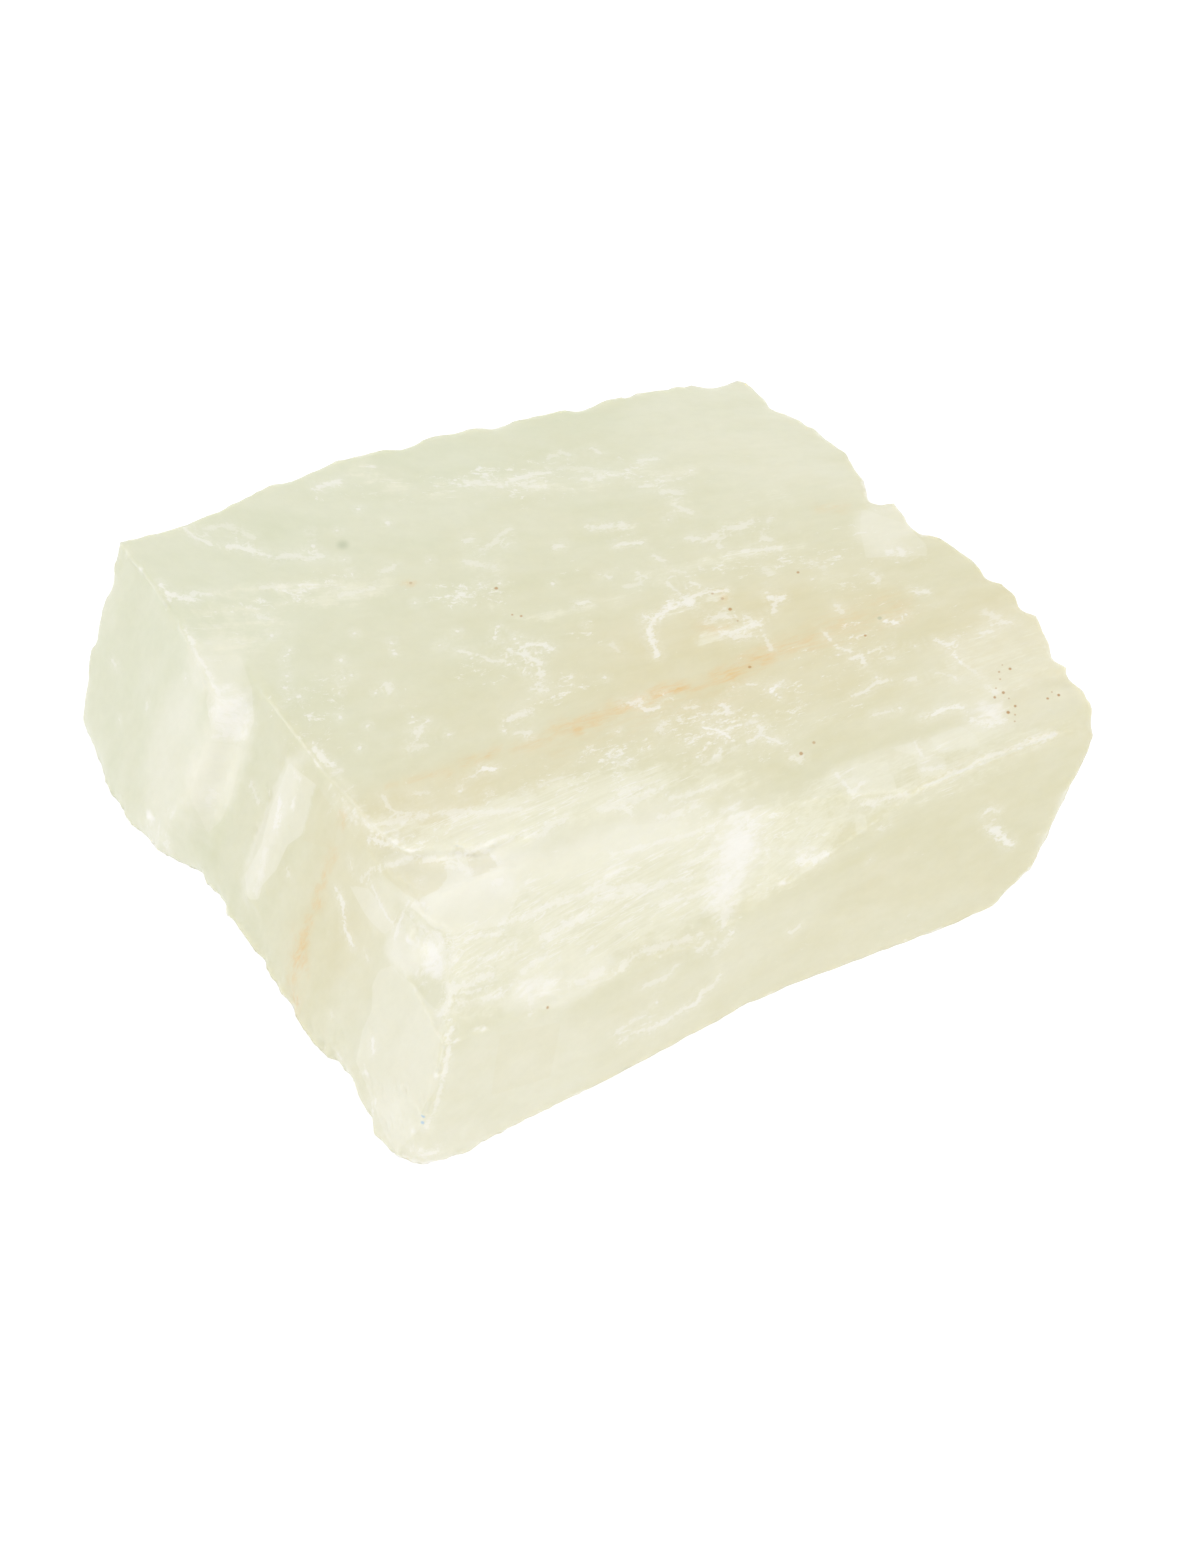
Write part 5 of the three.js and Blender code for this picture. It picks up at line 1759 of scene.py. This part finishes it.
@dataclass(frozen=True)
class FrostLook:
    """Crushed white calcite: a soft white ground, broken up by its own fine crumbs."""

    streak: Noise = Noise((3.6, 0.9, 0.9), 7.0, 0.68, 0.7)
    crumb: Noise = Noise((0.9, 0.6, 0.6), 5.0, 0.7)
    streak_share: float = 0.65
    # the level that the texture has to reach for an amount, and how softly it rises there
    level: Span = (-0.42, 0.66)
    level_rise: float = 0.2
    # the amounts that bring the even ground, and how much of the white it is
    ground_span: Span = (0.2, 1.1)
    ground_share: float = 0.45

    def group(self) -> bpy.types.NodeTree:
        """Builds the node group.

        Returns:
            The group.
        """
        wire = Group("frost", ("Frost", "Crumbs"), ("Grain",), Amount=0.5)
        grain, amount = wire.inputs["Grain"], wire.inputs["Amount"]
        crumbs = wire.noise(grain, self.crumb)
        texture = wire.times(wire.noise(grain, self.streak), self.streak_share)
        texture = wire.line(crumbs, 1.0 - self.streak_share, texture)
        broken = wire.reach(texture, wire.line(amount, *self.level), self.level_rise)
        ground = wire.times(wire.rise(amount, *self.ground_span), self.ground_share)
        wire.put_out("Frost", wire.line(broken, 1.0 - self.ground_share, ground))
        wire.put_out("Crumbs", crumbs)
        return wire.tree


@dataclass(frozen=True)
class SplinterLook:
    """Bright cracks with crisp, slightly frayed sides and a thin haze."""

    fray: Noise = Noise((0.8, 0.5, 0.5), 6.0, 0.85, 0.3, (6.0, 1.0, 2.0))
    lump: Noise = Noise((1.7, 1.0, 1.0), 4.0, 0.6, 0.3, (2.0, 7.0, 4.0))
    # how wide the frayed sides reach for a half width, and how much the given length may be off
    spread: Span = (1.6, 0.22)
    slack: float = 0.5
    # how much nearness, fray and lumps count, and the level where the crack is white
    near_share: float = 0.2
    fray_share: float = 0.6
    lump_share: float = 0.45
    level: Span = (0.585, 0.7)
    side_span: Span = (-0.3, 0.2)
    # the haze beside it
    haze_width: float = 1.0
    haze_span: Span = (0.0, 0.8)
    haze_gaps: Span = (0.36, 0.72)
    haze: float = 0.6

    def group(self) -> bpy.types.NodeTree:
        """Builds the node group.

        Returns:
            The group.
        """
        numbers = {"Far": 9.0, "Half": 0.3, "Strength": 0.0}
        wire = Group("splinters", ("Splinter",), ("Grain", "Way"), **numbers)
        grain, given = wire.inputs["Grain"], wire.inputs["Far"]
        length = wire.step("VectorMath", "LENGTH", wire.inputs["Way"]).outputs["Value"]
        far = wire.most(length, wire.sum("SUBTRACT", given, self.slack))
        spread = wire.line(wire.inputs["Half"], *self.spread)
        nearness = wire.sum("SUBTRACT", 1.0, wire.sum("DIVIDE", far, spread))
        fray = wire.noise(grain, self.fray)
        level = wire.line(nearness, self.near_share, wire.times(fray, self.fray_share))
        level = wire.line(wire.noise(grain, self.lump), self.lump_share, level)
        sides = wire.rise(nearness, *self.side_span)
        mask = wire.times(wire.rise(level, *self.level), sides)
        wider = wire.sum("ADD", spread, self.haze_width)
        halo = wire.sum("SUBTRACT", 1.0, wire.sum("DIVIDE", far, wider))
        gaps = wire.rise(fray, *self.haze_gaps)
        haze = wire.times(wire.rise(halo, *self.haze_span), gaps)
        mask = wire.most(mask, wire.times(haze, self.haze))
        wire.put_out("Splinter", wire.times(mask, wire.inputs["Strength"]))
        return wire.tree


@dataclass(frozen=True)
class StainLook:
    """An iron stain that has crept along the grain in small blots."""

    creep: Noise = Noise((2.6, 0.6, 0.6), 6.0, 0.65, 0.6)
    blot_span: Span = (0.4, 0.62)
    blot_share: Span = (0.7, 0.3)

    def group(self) -> bpy.types.NodeTree:
        """Builds the node group.

        Returns:
            The group.
        """
        wire = Group("stain", ("Stain",), ("Grain",), Amount=0.5)
        blots = wire.rise(wire.noise(wire.inputs["Grain"], self.creep), *self.blot_span)
        blots = wire.line(blots, *self.blot_share)
        wire.put_out("Stain", wire.times(wire.inputs["Amount"], blots))
        return wire.tree


@dataclass(frozen=True)
class SpeckLook:
    """Dark specks at given places in the crystal, with one mask for each kind of grain."""

    specks: dict[Dust, tuple[Speck, ...]] = field(default_factory=lambda: SPECKS)

    def group(self) -> bpy.types.NodeTree:
        """Builds the node group, which reads object coordinates.

        Returns:
            The group.
        """
        wire = Group("specks", [dust.value for dust in Dust], ("Place",))
        for dust, specks in self.specks.items():
            total: object = 0.0
            for speck in specks:
                spot = tuple(side * MM for side in speck.place)
                gap = wire.step("VectorMath", "DISTANCE", wire.inputs["Place"], spot)
                far = speck.radius * MM
                near = wire.rise(gap.outputs["Value"], far * (1.0 - speck.soft), far)
                total = wire.most(total, wire.line(near, -speck.depth, speck.depth))
            wire.put_out(dust.value, total)
        return wire.tree


@dataclass(frozen=True)
class CalciteFinish:
    """Milky calcite: its body colours, its whites, its stain, its painted light and shade, its
    gloss and how light sinks in.
    """

    green: Colour = (0.61, 0.625, 0.465, 1.0)
    honey: Colour = (0.625, 0.575, 0.36, 1.0)
    milk: Colour = (0.765, 0.75, 0.655, 1.0)
    veil: Colour = (0.755, 0.74, 0.61, 1.0)
    # the worn grey is painted shade, laid on the rounded brinks
    worn: Colour = (0.68, 0.685, 0.62, 1.0)
    frost: Colour = (0.815, 0.8, 0.76, 1.0)
    iron: Colour = (0.69, 0.465, 0.18, 1.0)
    # the foreign grains, by their names in Dust
    brown: Colour = (0.42, 0.22, 0.05, 1.0)
    grey: Colour = (0.36, 0.40, 0.25, 1.0)
    blue: Colour = (0.22, 0.45, 0.72, 1.0)
    # how uneven the body is
    drift: Noise = Noise((6.0, 3.6, 3.6), 8.0, 0.62, 0.0, (4.0, 6.0, 8.0))
    drift_depth: float = 0.4
    cloud: Noise = Noise((9.0, 4.0, 4.0), 6.0, 0.6)
    cloud_depth: float = 0.6
    fine: Noise = Noise((1.8, 1.2, 1.2), 7.0, 0.75, 0.0, (1.0, 9.0, 5.0))
    fine_depth: float = 0.1
    # how much of each marking shows
    pane_side: float = 0.1
    pane_share: float = 1.3
    veil_share: float = 0.7
    thread_share: float = 0.6
    white_share: float = 0.9
    # how far the rounded brinks are greyed as painted shade
    brink_shade_share: float = 0.25
    # painted light and shade in the body colour: lighter in hollows, darker on ridges and rounded
    # brinks, and a painted contact shadow at the foot
    hollow_span: Span = (0.0, 0.7)
    hollow_lift: float = 0.26
    ridge_span: Span = (0.15, 1.2)
    ridge_lift: float = -0.05
    brink_span: Span = (0.06, 0.36)
    brink_lift: float = -0.07
    foot_light: float = 0.78
    foot_height: float = 0.45 * MM
    # the surface
    clear_roughness: float = 0.32
    frost_roughness: float = 0.6
    index: float = 1.58
    depth: float = 1.0
    depth_scale: float = 1.3 * MM
    depth_colours: Point = (1.0, 0.95, 0.84)
    relief: float = 0.12
    relief_height: float = 0.1 * MM
    relief_ground: float = 0.05

    def material(self) -> bpy.types.Material:
        """Builds the material.

        Returns:
            The material, which reads the amounts painted on the block.
        """
        made = bpy.data.materials.new("milky_calcite")
        made.use_nodes = True
        made.node_tree.nodes.clear()
        wire = Wiring(made.node_tree)
        grain, place = wire.vector("grain"), wire.add("TexCoord").outputs["Object"]
        veils, flecks, frost, stain = (
            wire.group(look.group(), Grain=grain, Amount=wire.amount(mark.value))
            for look, mark in (
                (VeilLook(), Mark.VEIL),
                (FleckLook(), Mark.FLECKS),
                (FrostLook(), Mark.FROST),
                (StainLook(), Mark.IRON),
            )
        )
        bright = wire.group(
            SplinterLook().group(),
            Grain=grain,
            Way=wire.vector("splinter_way"),
            Far=wire.amount("splinter_far"),
            Half=wire.amount("splinter_half"),
            Strength=wire.amount("splinter_strength"),
        )
        white = wire.most(frost.outputs["Frost"], flecks.outputs["Fleck"])
        white = wire.most(white, bright.outputs["Splinter"])
        body = self.body(wire, grain)
        body = wire.blend(wire.times(veils.outputs["Veil"], self.veil_share), body, self.veil)
        body = wire.blend(wire.times(veils.outputs["Thread"], self.thread_share), body, self.frost)
        body = wire.blend(stain.outputs["Stain"], body, self.iron)
        body = wire.blend(wire.times(white, self.white_share), body, self.frost)
        specks = wire.group(SpeckLook().group(), Place=place)
        for dust in Dust:
            body = wire.blend(specks.outputs[dust.value], body, getattr(self, dust.value))
        # painted shade on the rounded brinks: greyed towards the worn colour here and darkened in
        # light()
        brink = wire.rise(wire.times(wire.amount("brink"), -1.0), *self.brink_span)
        body = wire.blend(wire.times(brink, self.brink_shade_share), body, self.worn)
        # the body colour is scaled by the painted light and shade
        light = self.light(wire, grain, place, brink)
        body = wire.step("VectorMath", "SCALE", body)
        wire.join(light, body.inputs["Scale"])
        self.surface(wire, body.outputs["Vector"], white, frost.outputs["Crumbs"])
        return made

    def body(self, wire: Wiring, grain: object) -> bpy.types.NodeSocket:
        """The body colour: green to honey, milky in clouds, paler or clearer in panes.

        Args:
            wire: the material's tree.
            grain: the place along the grain.

        Returns:
            The colour.
        """
        drift = wire.times(wire.uneven(grain, self.drift), self.drift_depth)
        honey = wire.sum("ADD", wire.amount(Mark.HONEY.value), drift)
        body = wire.blend(honey, self.green, self.honey)
        cloud = wire.uneven(grain, self.cloud)
        milk = wire.line(cloud, self.cloud_depth, wire.amount(Mark.MILK.value))
        body = wire.blend(milk, body, self.milk)
        inside = wire.rise(wire.amount("pane"), -self.pane_side, self.pane_side)
        pale = wire.times(inside, wire.times(wire.amount("pane_amount"), self.pane_share))
        body = wire.blend(wire.most(pale, 0.0), body, self.milk)
        return wire.blend(wire.most(wire.times(pale, -1.0), 0.0), body, self.honey)

    def light(
        self, wire: Wiring, grain: object, place: object, brink: object
    ) -> bpy.types.NodeSocket:
        """How much the body colour is lightened or darkened: painted light in hollows, painted
        shade on ridges, brinks and the foot.

        Args:
            wire: the material's tree.
            grain: the place along the grain.
            place: the place on the block.
            brink: the rounded brinks, which are darkened as painted shade.

        Returns:
            How much the colour is multiplied by.
        """
        hollow = wire.amount("hollow")
        # painted light in the hollows, painted shade on the ridges and brinks
        light = wire.line(wire.rise(hollow, *self.hollow_span), self.hollow_lift, 1.0)
        ridge = wire.rise(wire.times(hollow, -1.0), *self.ridge_span)
        light = wire.line(ridge, self.ridge_lift, light)
        light = wire.line(brink, self.brink_lift, light)
        # a painted contact shadow along the foot
        apart = wire.add("SeparateXYZ")
        wire.join(place, apart.inputs[0])
        foot = wire.rise(apart.outputs["Z"], 0.0, self.foot_height)
        light = wire.times(light, wire.line(foot, 1.0 - self.foot_light, self.foot_light))
        return wire.line(wire.uneven(grain, self.fine), self.fine_depth, light)

    def surface(self, wire: Wiring, body: object, white: object, crumbs: object) -> None:
        """The satin surface over the milky body, rougher and crumbly where it is white.

        Args:
            wire: the material's tree.
            body: the colour.
            white: where the crystal is crushed.
            crumbs: its fine crumbs.
        """
        rough = wire.add("MapRange")
        wire.join(white, rough.inputs["Value"])
        rough.inputs["To Min"].default_value = self.clear_roughness
        rough.inputs["To Max"].default_value = self.frost_roughness
        bump = wire.add("Bump")
        bump.inputs["Strength"].default_value = self.relief
        bump.inputs["Distance"].default_value = self.relief_height
        height = wire.times(crumbs, wire.sum("ADD", white, self.relief_ground))
        wire.join(height, bump.inputs["Height"])
        surface = wire.add("BsdfPrincipled")
        for name, value in {
            "Base Color": body,
            "Roughness": rough.outputs["Result"],
            "Normal": bump.outputs["Normal"],
            "IOR": self.index,
            "Subsurface Weight": self.depth,
            "Subsurface Radius": self.depth_colours,
            "Subsurface Scale": self.depth_scale,
        }.items():
            wire.join(value, surface.inputs[name])
        end = wire.add("OutputMaterial")
        wire.join(surface.outputs["BSDF"], end.inputs["Surface"])


@dataclass(frozen=True)
class Studio:
    """A white table in soft white light from all round, and the camera.

    Attributes:
        sky: how bright the surroundings are.
        key_power: the soft light above the block's left, in watts.
        azimuth: the way the camera looks, from +Y towards +X, in degrees.
        elevation: how far it looks down, in degrees.
        distance: how far it stands from its target.
        focal_pixels: its focal length in pixels of the frame.
        frame_height: the frame's long side in pixels.
        target: what it looks at.
    """

    white: Colour = (1.0, 1.0, 1.0, 1.0)
    sky: float = 1.12
    key_power: float = 0.7
    key_place: Point = (-160.0, -340.0, 700.0)
    key_size: float = 600.0
    table_size: float = 6000.0
    table_drop: float = 0.3
    table: Colour = (0.3, 0.3, 0.3, 1.0)
    table_glow: float = 0.84
    azimuth: float = 20.0
    elevation: float = 50.0
    distance: float = 1000.0
    focal_pixels: float = 7800.0
    frame_height: float = 1551.0
    sensor: float = 36.0
    clip: Span = (0.05, 20.0)
    target: Point = (-0.33, -3.38, 14.0)

    def build(self) -> None:
        """Sets up the table, the light and the camera."""
        self.lay_table()
        self.light()
        self.place_camera()
        bpy.context.scene.view_settings.view_transform = "Standard"

    def link(self, name: str, data: bpy.types.ID) -> bpy.types.Object:
        """A new object in the scene.

        Args:
            name: its name.
            data: its mesh, lamp or lens.

        Returns:
            The object.
        """
        made = bpy.data.objects.new(name, data)
        bpy.context.scene.collection.objects.link(made)
        return made

    def lay_table(self) -> None:
        """The white table that the block stands on."""
        form = bmesh.new()
        bmesh.ops.create_grid(form, x_segments=1, y_segments=1, size=self.table_size * MM / 2)
        bmesh.ops.translate(form, verts=form.verts, vec=(0.0, 0.0, -self.table_drop * MM))
        mesh = bpy.data.meshes.new("table")
        form.to_mesh(mesh)
        form.free()
        finish = bpy.data.materials.new("white_table")
        finish.use_nodes = True
        for name, value in {
            "Base Color": self.table,
            "Roughness": 1.0,
            "Specular IOR Level": 0.0,
            "Emission Color": self.white,
            "Emission Strength": self.table_glow,
        }.items():
            finish.node_tree.nodes["Principled BSDF"].inputs[name].default_value = value
        mesh.materials.append(finish)
        self.link("table", mesh)

    def light(self) -> None:
        """Bright surroundings and one large soft light."""
        world = bpy.data.worlds.new("studio")
        world.use_nodes = True
        sky = world.node_tree.nodes["Background"].inputs
        sky["Strength"].default_value = self.sky
        sky["Color"].default_value = self.white
        bpy.context.scene.world = world
        lamp = bpy.data.lights.new("key", "AREA")
        lamp.size = self.key_size * MM
        lamp.energy = self.key_power
        key = self.link("key", lamp)
        key.location = Vector(self.key_place) * MM
        key.rotation_euler = (-key.location).to_track_quat("-Z", "Y").to_euler()

    def place_camera(self) -> None:
        """The camera, looking down on the block from its front left."""
        lens = bpy.data.cameras.new("camera")
        lens.sensor_width = self.sensor
        lens.lens = self.focal_pixels / self.frame_height * self.sensor
        lens.clip_start, lens.clip_end = self.clip
        turn, down = math.radians(self.azimuth), math.radians(self.elevation)
        flat = Vector((math.sin(turn), math.cos(turn), 0.0))
        right = Vector((math.cos(turn), -math.sin(turn), 0.0))
        look = flat * math.cos(down) - Vector((0.0, 0.0, math.sin(down)))
        pose = Matrix((right, right.cross(look), -look)).transposed().to_4x4()
        pose.translation = (Vector(self.target) - look * self.distance) * MM
        camera = self.link("camera", lens)
        camera.matrix_world = pose
        bpy.context.scene.camera = camera


def main() -> None:
    """Builds the block and its studio and reports each piece."""
    logging.basicConfig(level=logging.INFO, format="%(message)s")
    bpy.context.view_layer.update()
    Studio().build()
    shape = CalciteBlock()
    block = shape.build()
    block.data.materials.append(CalciteFinish().material())
    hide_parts(shape.form.node)
    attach(block, "root")
    log.info("%s stands for %s", shape.name, shape.form.node)


if __name__ == "__main__":
    main()
